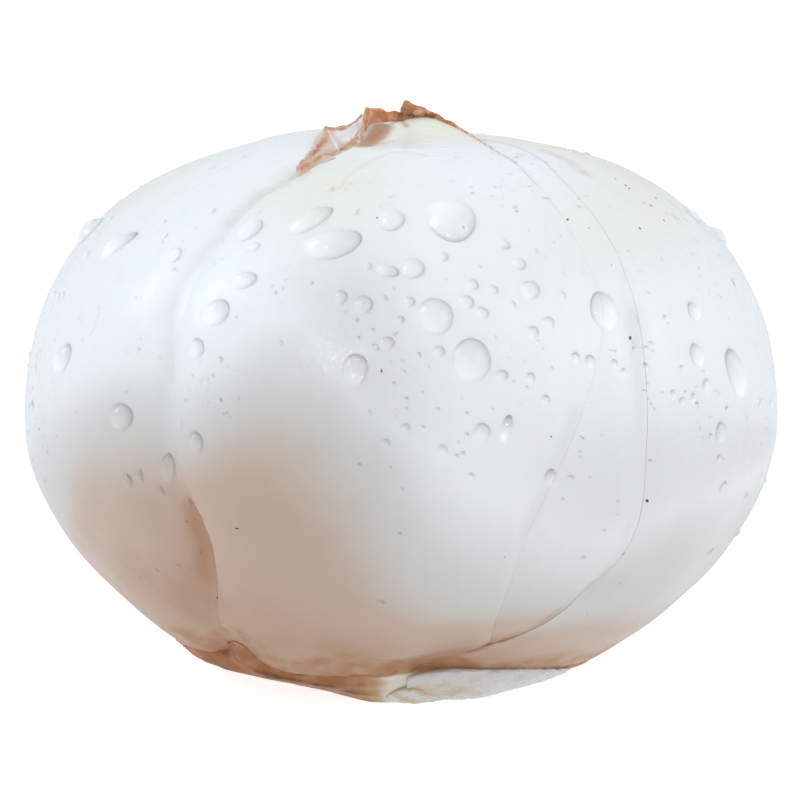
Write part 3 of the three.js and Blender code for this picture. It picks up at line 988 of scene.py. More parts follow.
def flank_bar(span, heights, depth, swell, rings, sides, seed):
    """A closed bar on the flank. It runs over the azimuths in span, between the two heights that the
    functions in heights give, depth mm thick, with the section of a superellipse of power 3 and a rough
    torn surface. Both ends close as (1 - x^2)^(1/swell)."""
    x = np.linspace(-1, 1, rings + 2)[1:-1, None]
    x = np.sign(x) * np.abs(x) ** 0.8
    turn = span[0] + (span[1] - span[0]) * (x + 1) / 2
    close = (1 - x**2) ** (1 / swell)
    angle = np.linspace(0, 2 * np.pi, sides, endpoint=False)
    section = (np.abs(np.cos(angle)) ** 3 + np.abs(np.sin(angle)) ** 3) ** (-1 / 3)
    lower, upper = heights[0](turn), heights[1](turn)
    height = (lower + upper) / 2 + (upper - lower) / 2 * section * np.sin(angle) * close
    out = depth * section * np.cos(angle) * close
    height = np.maximum(height, LOWEST_HEIGHT)
    places = np.stack([turn * MM_PER_TURN_DEGREE + 0 * out, height, out], -1)
    rough = 0.06 * waves(places, 1.4, seed) + 0.03 * waves(places, 0.6, seed + 1)
    radius = flank_radius(turn + 0 * height, height) + out + rough * (1 + 0 * out)
    return capped(ring_point(turn + 0 * height, radius, height))


# %% Ledge and stub
LEDGE_LOW = through([[6, 0.7], [14, 0.3], [22, 0.08], [40, 0.08], [56, 0.25], [70, 0.9]])
LEDGE_TOP = through([[6, 4.5], [14, 4.6], [24, 4.1], [34, 3.65], [56, 2.2], [70, 1.6]])
LEDGE_STAINS = [
    {"line": [[4, 1.4], [12, 1.6], [18, 1.4]], "width": 2.6, "dry": 0.34},
    {"line": [[32, 0.1], [38, 0.15], [43, 0.3]], "width": 0.42, "dry": 0.95},
    {"line": [[45.5, 1.3], [47, 1.4]], "width": 0.4, "dry": 0.7},
    {"line": [[50, 0.4], [58, 0.7]], "width": 0.4, "dry": 0.4},
]
STUB_LOW = through([[-2, 0.15], [16, 0.15]])
STUB_TOP = through([[-2, 1.7], [6, 2.5], [16, 1.5]])

ledge_points, ledge_faces = flank_bar((4, 66), (LEDGE_LOW, LEDGE_TOP), depth=1.5, swell=5, rings=150,
                                      sides=72, seed=21)
ledge_places = flank_place(azimuth_of(ledge_points - [PLATE_CENTRE, 0, 0]), ledge_points[:, 2])
ledge_dry = np.maximum.reduce([
    stain["dry"] * near_flank_line(ledge_places, stain, stain["width"]) for stain in LEDGE_STAINS
])
wet_ledge = add_piece("wet_ledge", ledge_points, ledge_faces, {"dry": ledge_dry})
stub_points, stub_faces = flank_bar((-1, 17), (STUB_LOW, STUB_TOP), depth=1.35, swell=2.6, rings=60,
                                    sides=48, seed=23)
stub_dry = 0.24 + 0.1 * waves(stub_points, 1.8, seed=25) + 0.3 * gauss(stub_points[:, 2] / 0.5)
leaf_stub = add_piece("leaf_stub", stub_points, stub_faces, {"dry": np.clip(stub_dry, 0, 1)})

# %% [markdown]
# ## Dried skin at the tip
#
# The leaf tips have withered into thin brown skin. Two sheets make it. One stands on the rim of the front
# leaf: a jagged flake at the left, a curled knob, and a margin that falls away to the right. The other is
# stretched over the mouth between the front leaf and its left neighbour, wet and half clear, with pale
# veins. A sheet is a grid of middle points with a small thickness, crumpled by waves.

# %% Rim of the front leaf


def curve_through(stations):
    """A function of place that follows [place, x, y, z...] stations, one smooth curve for each value."""
    table = np.array(stations, float)
    curves = [through(table[:, [0, i]]) for i in range(1, table.shape[1])]
    return lambda t: np.stack([curve(t) for curve in curves], -1)


RIM_PLACE = curve_through([[0, 78, -7], [0.08, 84, -6.6], [0.14, 88.5, -5.8], [0.2, 90.5, -4], [0.3, 91, 0],
                           [0.38, 91.5, 3], [0.46, 91.5, 6.5], [0.54, 90, 10.2], [0.62, 86, 12.8],
                           [0.75, 77, 16.6], [0.88, 69, 19.8], [1, 58, 24.4]])
RIM_HEIGHT = through([[0, 0.4], [0.05, 1.0], [0.08, 1.5], [0.1, 1.65], [0.14, 1.55], [0.2, 1.25], [0.25, 1.0],
                      [0.285, 0.75], [0.297, 0.85], [0.306, 1.5], [0.315, 1.72], [0.33, 1.7], [0.35, 1.45],
                      [0.375, 1.1], [0.41, 0.82], [0.44, 0.62], [0.48, 0.42], [0.53, 0.32], [0.57, 0.22],
                      [0.65, 0.16], [0.75, 0.14], [0.88, 0.1], [1, 0.01]])
RIM_THICKNESS = through([[0, 0.16], [0.2, 0.22], [0.28, 0.35], [0.31, 0.85], [0.35, 0.9], [0.41, 0.55],
                         [0.55, 0.3], [0.75, 0.2], [1, 0.1]])
RIM_ROOT = 0.7
KNOB = {"at": 0.35, "width": 0.06, "leans": -0.75}
FLAKE_LEANS = 0.25
CREASE = {"at": 0.42, "width": 0.08, "height": 0.25, "tall": 0.22, "dry": 0.3}
RIM_DRYNESS = through([[0, 0.4], [0.06, 0.5], [0.1, 0.66], [0.2, 0.72], [0.28, 0.72], [0.31, 0.78],
                       [0.37, 0.78], [0.43, 0.7], [0.5, 0.74], [0.6, 0.62], [0.7, 0.45], [0.8, 0.36],
                       [1, 0.15]])


def rim_sheet(columns, rows):
    """The skin on the rim: from just inside the leaf it stands up by RIM_HEIGHT, leaning forward over the
    flesh at the knob and back beside it, and it thins toward its free edge by the cube of the share of its
    height. Also returns its thickness and its dryness, which is blotched, and dark in the crease under the
    knob."""
    s = np.linspace(0, 1, columns)
    place = RIM_PLACE(s)
    foot = leaf_points(FRONT, place[:, 0], place[:, 1], np.zeros(columns))
    v = np.linspace(0, 1, rows)[:, None]
    jagged = 1 + 0.06 * waves(s[:, None] * 14, 1.1, seed=31) * smoothstep((0.5 - s) * 6)
    reach = -RIM_ROOT + (RIM_HEIGHT(s) * jagged + RIM_ROOT) * v
    knob = gauss((s - KNOB["at"]) / KNOB["width"])
    lean = KNOB["leans"] * knob * smoothstep(reach / 1.6) + FLAKE_LEANS * smoothstep(reach / 1.5) * (1 - knob)
    up = np.array([0, 0, 1])
    back = np.array([0, 1, 0])
    middle = foot + reach[..., None] * up + lean[..., None] * back
    crumple = 0.09 * waves(middle, 1.5, seed=32) + 0.05 * waves(middle, 0.7, seed=33)
    crumple = crumple * smoothstep((reach + 0.3) / 0.8) * (0.35 + 0.65 * smoothstep((0.6 - s) * 5))
    middle = middle + crumple[..., None] * np.array([0.3, 1, 0.25])
    thickness = RIM_THICKNESS(s) * (1 - 0.75 * v**3) * (1 + 0.25 * waves(middle, 0.8, seed=34))
    crease = CREASE["dry"] * gauss((s - CREASE["at"]) / CREASE["width"])
    crease = crease * gauss((reach - CREASE["height"]) / CREASE["tall"])
    dry = RIM_DRYNESS(s) + 0.1 * waves(middle, 0.9, seed=37) + crease
    return middle, np.clip(thickness, 0.05, 2), np.clip(dry, 0, 1)


rim_middle, rim_thickness, rim_dry = rim_sheet(300, 30)
rim_points, rim_faces = thick_sheet(rim_middle, rim_thickness)
rim_skin = add_piece("dried_rim", rim_points, rim_faces, {"dry": np.tile(rim_dry.ravel(), 2)})

# %% Skin over the mouth
MOUTH_FRONT = curve_through([[0, 58.5, -15.6], [0.25, 62.5, -12.2], [0.5, 67, -9.4], [0.7, 74, -7.8],
                             [0.85, 80, -6.9], [1, 86, -6.2]])
MOUTH_BACK = curve_through([[0, -8.9, -13.6, 46.7], [0.25, -8.0, -10, 47.5], [0.5, -7.4, -6, 48.15],
                            [0.7, -6.8, -2.2, 48.95], [0.8, -6.0, -1.4, 49.0], [0.9, -4.7, -0.9, 49.35],
                            [1, -3.5, -0.7, 50.0]])
MOUTH_SINKS = 0.1
MOUTH_REACH = (-0.1, 1.16)
MOUTH_THICKNESS = 0.14
HOOK = 22
LEAST_DRY = 0.15
VEIN_HEIGHT = 0.12
VEINS = [
    {"line": [[0.67, 0.97], [0.5, 0.9], [0.3, 0.85], [0.2, 0.7]], "width": 0.014, "height": 0.08},
    {"line": [[0.7, 0.95], [0.62, 0.6], [0.52, 0.08]], "width": 0.014, "height": 0.1},
    {"line": [[0.98, 0.2], [0.9, 0.34], [0.8, 0.2], [0.74, 0.3], [0.7, 0.12]],
     "width": 0.018, "height": 0.12},
]
BROWN_PATCHES = [
    {"line": [[0, 0.4], [0.12, 0.4], [0.3, 0.2]], "width": 0.2, "dry": 0.72},
    {"line": [[0.3, 0.14], [0.6, 0.1], [0.8, 0.06]], "width": 0.1, "dry": 0.68},
    {"line": [[0.7, 0.86], [0.8, 0.78]], "width": 0.11, "dry": 0.8},
    {"line": [[0.82, 0.95], [1, 0.9]], "width": 0.1, "dry": 0.76},
    {"line": [[0.71, 1.0], [0.74, 1.0]], "width": 0.03, "dry": 1.3},
    {"line": [[0.5, 0.8], [0.6, 0.78]], "width": 0.12, "dry": 0.55},
    {"line": [[0.1, 0.8], [0.3, 0.72], [0.5, 0.74]], "width": 0.22, "dry": 0.72},
]


def mouth_sheet(columns, rows):
    """The skin over the mouth: a ruled surface, front + (back - front) * t, from under the front leaf's
    edge to the left leaf's crest, where it hooks down by HOOK * (t - 1)^2. It is bellied a little, and
    lined with veins and lumps where it has dried. Also returns its dryness and its flush, which is
    strongest in the window between the veins."""
    s, t = np.meshgrid(np.linspace(0, 1, columns), np.linspace(*MOUTH_REACH, rows))
    place = MOUTH_FRONT(s[0])
    front = leaf_points(FRONT, place[:, 0], place[:, 1], np.zeros(columns)) - [0, 0, MOUTH_SINKS]
    back = MOUTH_BACK(s[0])
    middle = front + (back - front) * t[..., None]
    over = np.maximum(t - 1, 0)
    places = np.stack([s, t], -1)
    veins = sum(vein["height"] * nearness(places, vein["line"], vein["width"]) for vein in VEINS)
    patches = [patch["dry"] * nearness(places, patch["line"], patch["width"]) for patch in BROWN_PATCHES]
    dry = np.maximum.reduce(patches + [np.full(s.shape, LEAST_DRY)])
    belly = 0.15 * np.sin(np.pi * np.clip(t, 0, 1)) + veins
    crumple = 0.09 * waves(middle, 1.7, seed=35) + 0.05 * waves(middle, 0.8, seed=36) * (0.4 + dry)
    rise = belly + crumple + 0.12 * dry - HOOK * over**2
    middle = middle + rise[..., None] * np.array([0.05, -0.35, 0.93])
    on_vein = np.clip(veins / VEIN_HEIGHT, 0, 1)
    window = 0.9 * smoothstep((0.72 - s) / 0.12) * (1 - on_vein)
    return middle, np.clip(dry - 0.2 * on_vein, 0, 1), window


mouth_middle, mouth_dry, mouth_flush = mouth_sheet(150, 84)
mouth_points, mouth_faces = thick_sheet(mouth_middle, MOUTH_THICKNESS)
mouth_values = {"dry": np.tile(mouth_dry.ravel(), 2), "flush": np.tile(mouth_flush.ravel(), 2)}
mouth_skin = add_piece("mouth_skin", mouth_points, mouth_faces, mouth_values)

# %% [markdown]
# ## Drops of water
#
# The bulb was rinsed, and waxy skin makes water stand in beads. A drop is a closed lens: a dome whose foot
# follows the skin that it sits on, and a hidden underside just inside the flesh, so that light bends once
# on the way in and meets the leaf. Its dome is the cap of a sphere, flattened by its own weight when it is
# large.

# %% Seats of the drops
SEAT_STEP = 0.6


def seats(azimuth, elevation):
    """For each place: its skin point, the sideways and upward directions along the skin, and the outward
    one. The slopes are those between skin points SEAT_STEP degrees to either side."""
    step = SEAT_STEP
    here = skin_at(towards(azimuth, elevation))
    side = unit(skin_at(towards(azimuth + step, elevation)) - skin_at(towards(azimuth - step, elevation)))
    rise = skin_at(towards(azimuth, elevation + step)) - skin_at(towards(azimuth, elevation - step))
    normal = unit(np.cross(side, rise))
    return here, side, np.cross(normal, side), normal


print("outward on the left and on the right:", seats(np.array([-60.0, 60]), np.zeros(2))[3].round(2).tolist())

# %% Drop meshes
CONTACT_RISE = 0.6
LARGE_DROP = 3.2
FLATTENING = 0.35
RIM_LOBES = (0.035, 0.025)
DROP_SINKS = 0.03
DROP_ROOT = 0.14
# The painted light under each drop comes from a fixed place at the upper right front: a drop is painted
# lighter on its far side, and painted shade darkens its rim.
PAINTED_LIGHT_FROM = np.array([400, -520, 560])
PAINTED_GATHER, PAINTED_RIM_SHADE = 0.18, 0.42
SMALL_DROP = 0.5


def bead(places, sizes, rings, sides, seed, rise=CONTACT_RISE):
    """All the drops of one group as one set of points and faces. places are [azimuth, elevation], sizes are
    [width, length, tilt] with the length up the skin, turned by tilt degrees to the right. The dome is the
    cap mean * (sqrt(globe^2 - r^2) - (globe - k)) over r from 0 to 1, which rises k half widths. Also
    returns a painted share of light that each point lets through to the skin: painted shade round the rim,
    least on the far side, and painted light that grows from the side toward a fixed place at the upper right
    front to the far side, in place of the light that a drop bends."""
    count = len(places)
    random = np.random.default_rng(seed)
    lobes = random.uniform(0, 2 * np.pi, (2, count, 1, 1))
    here, side, up, normal = seats(places[:, 0], places[:, 1])
    r = np.sin(np.linspace(0, np.pi / 2, rings + 1)[1:])[None, :, None]
    r = np.concatenate([r, [[[0.8], [0.3]]]], 1)
    under = np.concatenate([np.zeros(rings), np.ones(2)])[None, :, None]
    angle = np.linspace(0, 2 * np.pi, sides, endpoint=False)[None, None, :]
    outline_r = 1 + RIM_LOBES[0] * np.cos(2 * angle + lobes[0]) + RIM_LOBES[1] * np.cos(3 * angle + lobes[1])
    outline_r = r * outline_r
    width, length, tilt = (sizes[:, i, None, None] for i in range(3))
    x, y = outline_r * np.cos(angle) * width / 2, outline_r * np.sin(angle) * length / 2
    turn = np.radians(tilt)
    x, y = x * np.cos(turn) + y * np.sin(turn), y * np.cos(turn) - x * np.sin(turn)
    flat = here[:, None, None] + x[..., None] * side[:, None, None] + y[..., None] * up[:, None, None]
    foot = skin_at(unit(flat - HEART))
    mean = np.sqrt(width * length) / 2
    k = rise / np.sqrt(1 + (2 * mean / LARGE_DROP) ** 2 * FLATTENING)
    globe = (1 + k * k) / (2 * k)
    dome = mean * (np.sqrt(np.maximum(globe**2 - r**2, 0)) - (globe - k)) - DROP_SINKS
    height = np.where(under > 0, -DROP_ROOT, dome) + 0 * angle
    points = foot + height[..., None] * normal[:, None, None]
    crown = points[:, 0].mean(1) + 0.15 * (points[:, 0].mean(1) - points[:, 1].mean(1))
    floor = points[:, -1].mean(1)
    # The way along the skin toward the fixed place of the painted light.
    window = PAINTED_LIGHT_FROM - here
    window = unit(np.stack([(window * side).sum(1), (window * up).sum(1)], -1))[:, :, None, None]
    far = -(x * window[:, 0] + y * window[:, 1]) / mean
    smallness = np.exp(-mean / SMALL_DROP)
    rim = (1 - 0.5 * smallness) * smoothstep((r - 0.84 + 0.4 * smallness) / 0.14)
    # Painted light and shade that the skin under the drop gets in place of the light that the drop bends.
    painted_light_share = 1 + (PAINTED_GATHER + 0.28 * smallness) * far - PAINTED_RIM_SHADE * rim * (1 - 0.6 * np.clip(far, 0, 1))
    painted_light_share = np.concatenate([np.ones((count, 1)), painted_light_share.reshape(count, -1), np.ones((count, 1))], 1)
    each = np.concatenate([crown[:, None], points.reshape(count, -1, 3), floor[:, None]], 1)
    size = each.shape[1]
    i = np.arange(sides)
    after = (i + 1) % sides
    last = 1 + (rings + 1) * sides
    quads = ring_quads(rings + 2, sides) + 1
    crown_fan = np.stack([np.zeros(sides, int), i + 1, after + 1], -1)
    floor_fan = np.stack([last + after, last + i, np.full(sides, size - 1)], -1)
    shift = (np.arange(count) * size)[:, None, None]
    blocks = (quads[:, ::-1], crown_fan, floor_fan)
    faces = [(block[None] + shift).reshape(-1, block.shape[1]) for block in blocks]
    return each.reshape(-1, 3), faces, {"painted_light_share": painted_light_share.ravel()}


two_mm_drop = CONTACT_RISE / math.sqrt(1 + (2 / LARGE_DROP) ** 2 * FLATTENING)
print(f"a drop 2 mm across is {two_mm_drop:.2f} mm high")

# %% Large drops, each as [azimuth, elevation, width, length, tilt]
MAIN_DROPS = [
    [10.5, 43, 4.1, 5.8, 0], [-13, 37.7, 3.2, 5.1, 62], [-19, 42.3, 2.0, 4.6, 40], [-2, 43, 2.2, 2.7, 0],
    [2, 33.4, 2.0, 2.2, 0], [5.5, 25.6, 3.0, 3.2, 0], [10.7, 19, 3.4, 3.5, 0], [34.4, 25, 2.9, 3.4, -6],
    [-31.4, 39.7, 2.3, 2.8, 20], [-28, 36.4, 0.9, 1, 0], [-27.7, 30.4, 1.7, 2.5, 75],
    [-31, 25, 2.3, 2.9, 60], [-33, 19.5, 1.6, 1.7, 0], [-44.7, 33.4, 1.5, 1.6, 0],
    [-62, 33.5, 1.6, 4.2, 45], [-63, 14.6, 2.3, 3.3, 50], [-46, 8.2, 2.5, 2.4, 0],
    [-31.8, 5.9, 1.7, 1.9, 0], [22, 29.2, 1.7, 1.8, 0], [21.3, 33.7, 1.2, 1.3, 0], [19.7, 37.4, 1, 1.2, 0],
    [7.5, 35.4, 1, 1.1, 0], [12.1, 30.5, 1.1, 1.1, 0], [10.7, 27.7, 1.3, 1.3, 0], [15.5, 29.5, 0.9, 0.9, 0],
    [13.1, 25.9, 1.1, 1.1, 0], [20.9, 22.7, 1.1, 1.1, 0], [23.9, 24, 1, 1.1, 0], [27.4, 18.5, 0.9, 1, 0],
    [29.9, 17.8, 1, 1.2, 0], [15.1, 16.6, 1.2, 1, 0], [5.7, 20.3, 1.1, 1, 0], [19.6, 16.1, 0.9, 0.9, 0],
    [21.7, 12.8, 0.8, 0.9, 0], [11.9, 8.7, 1.3, 1.5, 0], [15.5, 9.1, 0.9, 2.2, 15],
    [22.4, 1.5, 1.1, 1.4, 0], [-2.2, 21.5, 1.3, 1.2, 0], [1.3, 27.8, 1, 1, 0], [60.9, 12.7, 2.7, 4.6, -12],
    [51.1, 16.6, 1.8, 2.1, 0], [53.7, 22.9, 1.7, 1.8, 0], [52.1, 12.1, 1.1, 1.1, 0], [55, 4.7, 1.6, 1.9, 0],
    [56.8, -3.8, 1.2, 1.2, 0], [-6.9, 17.7, 2.2, 2.6, 0], [-37.5, 1.4, 1.4, 2.6, 0],
    [-44.4, -1.1, 1.1, 1.3, 0], [-6.2, 27.3, 1.6, 1.8, 0], [-10, 28.5, 1.2, 1.3, 0],
    [-2.3, 33, 1.2, 2.0, -70], [-0.2, 25, 0.8, 0.8, 0],
]
main = np.array(MAIN_DROPS)
large_drops = add_piece("large_drops", *bead(main[:, :2], main[:, 2:], rings=14, sides=32, seed=41))

# %% Scattered drops and spray
TRIES = 4
CLEARANCE = 0.62
NEVER_WET = -9


def scattered(count, seed, elevations, widths, patchy, keep_from):
    """Seeded places and sizes for small drops: of four times as many tries, those where a slow wave of
    wavelength patchy is highest, none of them on the drops in keep_from. Widths crowd toward the lower one
    as a random share to the power 2.2."""
    random = np.random.default_rng(seed)
    azimuth = random.uniform(-180, 180, count * TRIES)
    sines = random.uniform(*np.sin(np.radians(elevations)), count * TRIES)
    elevation = np.degrees(np.arcsin(sines))
    wet = waves(towards(azimuth, elevation) * MEAN_RADIUS, patchy, seed)
    wet = wet + 0.9 * random.normal(size=count * TRIES)
    gap = np.hypot((azimuth[:, None] - keep_from[:, 0]) * np.cos(np.radians(elevation))[:, None],
                   elevation[:, None] - keep_from[:, 1]) * MM_PER_DEGREE
    wet = np.where((gap < keep_from[:, 3] * CLEARANCE).any(1), NEVER_WET, wet)
    chosen = np.argsort(-wet)[:count]
    width = widths[0] + (widths[1] - widths[0]) * random.uniform(size=count) ** 2.2
    stretch = random.uniform(0.95, 1.25, count)
    tilt = random.uniform(-25, 25, count)
    return np.stack([azimuth, elevation], -1)[chosen], np.stack([width, width * stretch, tilt], -1)


far_places, far_sizes = scattered(26, 43, elevations=(-10, 62), widths=(1.2, 3.6), patchy=20, keep_from=main)
behind = np.abs(far_places[:, 0]) > 75
far_drops = add_piece("far_drops", *bead(far_places[behind], far_sizes[behind], rings=14, sides=32, seed=44))
small = scattered(420, 45, elevations=(-20, 66), widths=(0.32, 0.9), patchy=14, keep_from=main)
small_drops = add_piece("small_drops", *bead(*small, rings=4, sides=12, seed=46))
fine = scattered(1500, 47, elevations=(0, 70), widths=(0.18, 0.4), patchy=9, keep_from=main)
spray = add_piece("spray", *bead(*fine, rings=2, sides=7, seed=48))

# %% [markdown]
# ## Specks of soil
#
# Bulbs grow in sandy soil, and a rinse leaves a few grains behind. A grain is made as a drop is, a small
# closed lens seated on the skin, with fewer faces and a dark dull finish. A few have chosen places, and the
# rest are scattered by seed.

# %% Soil, each speck as [azimuth, elevation, width]
SPECKS = [
    [67.6, 49, 0.2], [67.2, 47, 0.3], [66.7, 46.2, 0.24], [63.2, 42.4, 0.22], [64.5, 41.5, 0.28],
    [62.7, 38.2, 0.26], [72.2, 42.6, 0.3], [52.5, 37.7, 0.3], [36.3, 41.5, 0.26], [38.1, 20.6, 0.34],
    [39.4, -3.6, 0.3], [-25.3, -6.6, 0.22], [-35.9, -22.6, 0.3],
]
SCATTERED_SPECKS = 36
SOIL_DRYNESS = 1.1

soil_random = np.random.default_rng(51)
more_specks = np.stack([
    soil_random.uniform(-180, 180, SCATTERED_SPECKS),
    soil_random.uniform(-32, 62, SCATTERED_SPECKS),
    soil_random.uniform(0.12, 0.22, SCATTERED_SPECKS),
], -1)
specks = np.concatenate([np.array(SPECKS), more_specks])
speck_sizes = np.stack([specks[:, 2], specks[:, 2] * soil_random.uniform(1, 1.8, len(specks)),
                        soil_random.uniform(-90, 90, len(specks))], -1)
speck_points, speck_faces, _ = bead(specks[:, :2], speck_sizes, rings=2, sides=7, seed=52, rise=0.5)
speck_dry = np.full(len(speck_points), SOIL_DRYNESS)
soil_specks = add_piece("soil_specks", speck_points, speck_faces, {"dry": speck_dry})

# %% [markdown]
# ## Materials
#
# Fresh bulb flesh is cells full of water and starch under a thin wax: light sinks in, scatters and comes
# out soft and white, while the wax and the film of water on it keep a cool gloss. Dried skin is the same
# cells emptied: thin, brown and dull. Water is clear and bends light. Each finish is built from the
# attributes and from the place in the object, so it stays put from every side.

# %% Node and colour helpers


def linear(code):
    """A linear colour from an sRGB hex code: ((c + 0.055) / 1.055)^2.4 for each channel above 0.04045."""
    channels = np.array([int(code[i:i + 2], 16) / 255 for i in (1, 3, 5)])
    curve = np.where(channels <= 0.04045, channels / 12.92, ((channels + 0.055) / 1.055) ** 2.4)
    return (*curve.tolist(), 1.0)


def add_node(tree, kind, inputs=None, **settings):
    """Adds one node of a kind. settings are its own properties, and inputs its sockets by name or number:
    the output of another node is linked to it, and anything else becomes its value."""
    made = tree.nodes.new(kind)
    for key, value in settings.items():
        setattr(made, key, value)
    for key, value in (inputs or {}).items():
        if isinstance(value, bpy.types.NodeSocket):
            tree.links.new(value, made.inputs[key])
        else:
            made.inputs[key].default_value = value
    return made


def new_material(name):
    """An empty node material and its tree."""
    material = bpy.data.materials.new(name)
    material.use_nodes = True
    material.node_tree.nodes.clear()
    return material, material.node_tree


def per_mm(size):
    """The scale of a noise texture whose features are size mm across, because its coordinates are in
    metres."""
    return 1 / (size * MM)


print("mid grey, linear:", round(linear("#808080")[0], 3))

# %% Waxy leaf flesh
# The shade colour is painted shade that greys the flesh above the flush, the flush colour a pink-tan tint
# that is partly painted shade, and the deep colour painted shade beside seams and low on the leaves, partly a
# deeper tint.
LEAF_COLOURS = {"white": "#f2f5f7", "fresh": "#e9ebdc", "shade": "#d7d8d5", "flush": "#cab3a2",
                "deep_flush_and_shade": "#b5896b", "tan": "#b99777", "brown": "#ad7850", "dark": "#6b4026", "soil": "#5d4c3c"}


def waxy_flesh(name, colours, gloss, film, ripple=(0.8, 0.0001)):
    """Fresh bulb flesh, grown, not made: white starch cells that light sinks into about a millimetre, a wax
    skin of IOR 1.45 and, where it is wet, a film of water over it, with ripples of the size and depth given
    (mm, m). Faint lines run along the leaf, about 0.8 mm apart, and a fine grain of cells, about 0.25 mm,
    breaks the gloss."""
    material, tree = new_material(name)
    place = add_node(tree, "ShaderNodeTexCoord").outputs["Object"]
    value = {key: add_node(tree, "ShaderNodeAttribute", attribute_name=key).outputs["Fac"]
             for key in ("flush", "fresh", "dry", "thin")}
    grain = add_node(tree, "ShaderNodeAttribute", attribute_name="grain").outputs["Vector"]
    cloud = add_node(tree, "ShaderNodeTexNoise", {"Vector": place, "Scale": per_mm(9), "Detail": 3.0})
    mottle = add_node(tree, "ShaderNodeTexNoise", {"Vector": place, "Scale": per_mm(1.6), "Detail": 4.0})
    stretch = add_node(tree, "ShaderNodeMapping", {"Vector": grain, "Scale": (1.25, 0.05, 1.0)})
    lines = add_node(tree, "ShaderNodeTexNoise", {"Vector": stretch.outputs[0], "Scale": 1.0, "Detail": 3.0})
    fresh = add_node(tree, "ShaderNodeMix", {0: value["fresh"], 6: linear(colours["white"]),
                     7: linear(colours["fresh"])}, data_type="RGBA")
    uneven = add_node(tree, "ShaderNodeMapRange", {"Value": cloud.outputs["Fac"], "From Min": 0.3,
                      "From Max": 0.7, "To Min": 0.88, "To Max": 1.0})
    blush_and_shade = add_node(tree, "ShaderNodeMath", {0: value["flush"], 1: uneven.outputs[0]}, operation="MULTIPLY")
    ragged = add_node(tree, "ShaderNodeMapRange", {"Value": mottle.outputs["Fac"], "From Min": 0.3,
                      "From Max": 0.7, "To Min": 0.75, "To Max": 1.2})
    dry = add_node(tree, "ShaderNodeMath", {0: value["dry"], 1: ragged.outputs[0]}, operation="MULTIPLY")
    colour = fresh.outputs[2]
    # The first three stages mix in painted shade and the flush, which is partly painted shade; the last three
    # mix in dryness.
    stages = (("shade", blush_and_shade, 0.0, 0.5), ("flush", blush_and_shade, 0.4, 0.92), ("deep_flush_and_shade", blush_and_shade, 0.95, 1.75),
              ("tan", dry, 0.05, 0.45), ("brown", dry, 0.4, 0.8), ("dark", dry, 0.8, 1.15))
    for key, driver, start, end in stages:
        amount = add_node(tree, "ShaderNodeMapRange", {"Value": driver.outputs[0], "From Min": start,
                          "From Max": end}, interpolation_type="SMOOTHSTEP")
        mix = add_node(tree, "ShaderNodeMix", {0: amount.outputs[0], 6: colour, 7: linear(colours[key])},
                       data_type="RGBA")
        colour = mix.outputs[2]
    streak = add_node(tree, "ShaderNodeMapRange", {"Value": lines.outputs["Fac"], "From Min": 0.3,
                      "From Max": 0.7, "To Min": 0.985, "To Max": 1.0})
    colour = add_node(tree, "ShaderNodeMix", {0: 1.0, 6: colour, 7: streak.outputs[0]}, data_type="RGBA",
                      blend_type="MULTIPLY").outputs[2]
    soil = add_node(tree, "ShaderNodeTexVoronoi", {"Vector": place, "Scale": per_mm(4.5)})
    speck = add_node(tree, "ShaderNodeMapRange", {"Value": soil.outputs["Distance"], "From Min": 0.012,
                     "From Max": 0.026, "To Min": 0.6, "To Max": 0.0})
    colour = add_node(tree, "ShaderNodeMix", {0: speck.outputs[0], 6: colour, 7: linear(colours["soil"])},
                      data_type="RGBA").outputs[2]
    cells = add_node(tree, "ShaderNodeTexNoise", {"Vector": place, "Scale": per_mm(0.25), "Detail": 2.0})
    line_bump = add_node(tree, "ShaderNodeBump", {"Height": lines.outputs["Fac"], "Strength": 0.35,
                         "Distance": 0.00004})
    bump = add_node(tree, "ShaderNodeBump", {"Height": cells.outputs["Fac"], "Strength": 0.25,
                    "Distance": 0.00003, "Normal": line_bump.outputs[0]})
    ripples = add_node(tree, "ShaderNodeTexNoise", {"Vector": place, "Scale": per_mm(ripple[0]),
                       "Detail": 3.0})
    ripple_bump = add_node(tree, "ShaderNodeBump", {"Height": ripples.outputs["Fac"], "Strength": 1.0,
                           "Distance": ripple[1]})
    rough = add_node(tree, "ShaderNodeMapRange", {"Value": mottle.outputs["Fac"], "From Min": 0.3,
                     "From Max": 0.7, "To Min": gloss, "To Max": gloss + 0.12})
    dull = add_node(tree, "ShaderNodeMath", {0: value["dry"], 1: 0.25, 2: rough.outputs[0]},
                    operation="MULTIPLY_ADD")
    depth = add_node(tree, "ShaderNodeMapRange", {"Value": value["thin"], "To Min": 0.6, "To Max": 0.0})
    shader = add_node(tree, "ShaderNodeBsdfPrincipled", {
        "Base Color": colour, "Roughness": dull.outputs[0], "IOR": 1.45, "Normal": bump.outputs[0],
        "Subsurface Weight": depth.outputs[0], "Subsurface Radius": (1.0, 0.85, 0.75),
        "Subsurface Scale": 0.0005,
        "Coat Weight": film, "Coat Roughness": 0.1, "Coat IOR": 1.33, "Coat Normal": ripple_bump.outputs[0],
    })
    add_node(tree, "ShaderNodeOutputMaterial", {"Surface": shader.outputs[0]})
    print(f"{name}: {len(tree.nodes)} nodes")
    return material


leaf_flesh = waxy_flesh("waxy_leaf_flesh", LEAF_COLOURS, gloss=0.34, film=0.35)
inner_flesh = waxy_flesh("inner_leaf_flesh", {**LEAF_COLOURS, "white": "#f2ecdc"}, gloss=0.42, film=0.2)
plate_flesh = waxy_flesh("torn_plate_flesh", {**LEAF_COLOURS, "white": "#e6e0d2", "tan": "#b48d63",
                         "brown": "#a1673c"}, gloss=0.45, film=0.15)
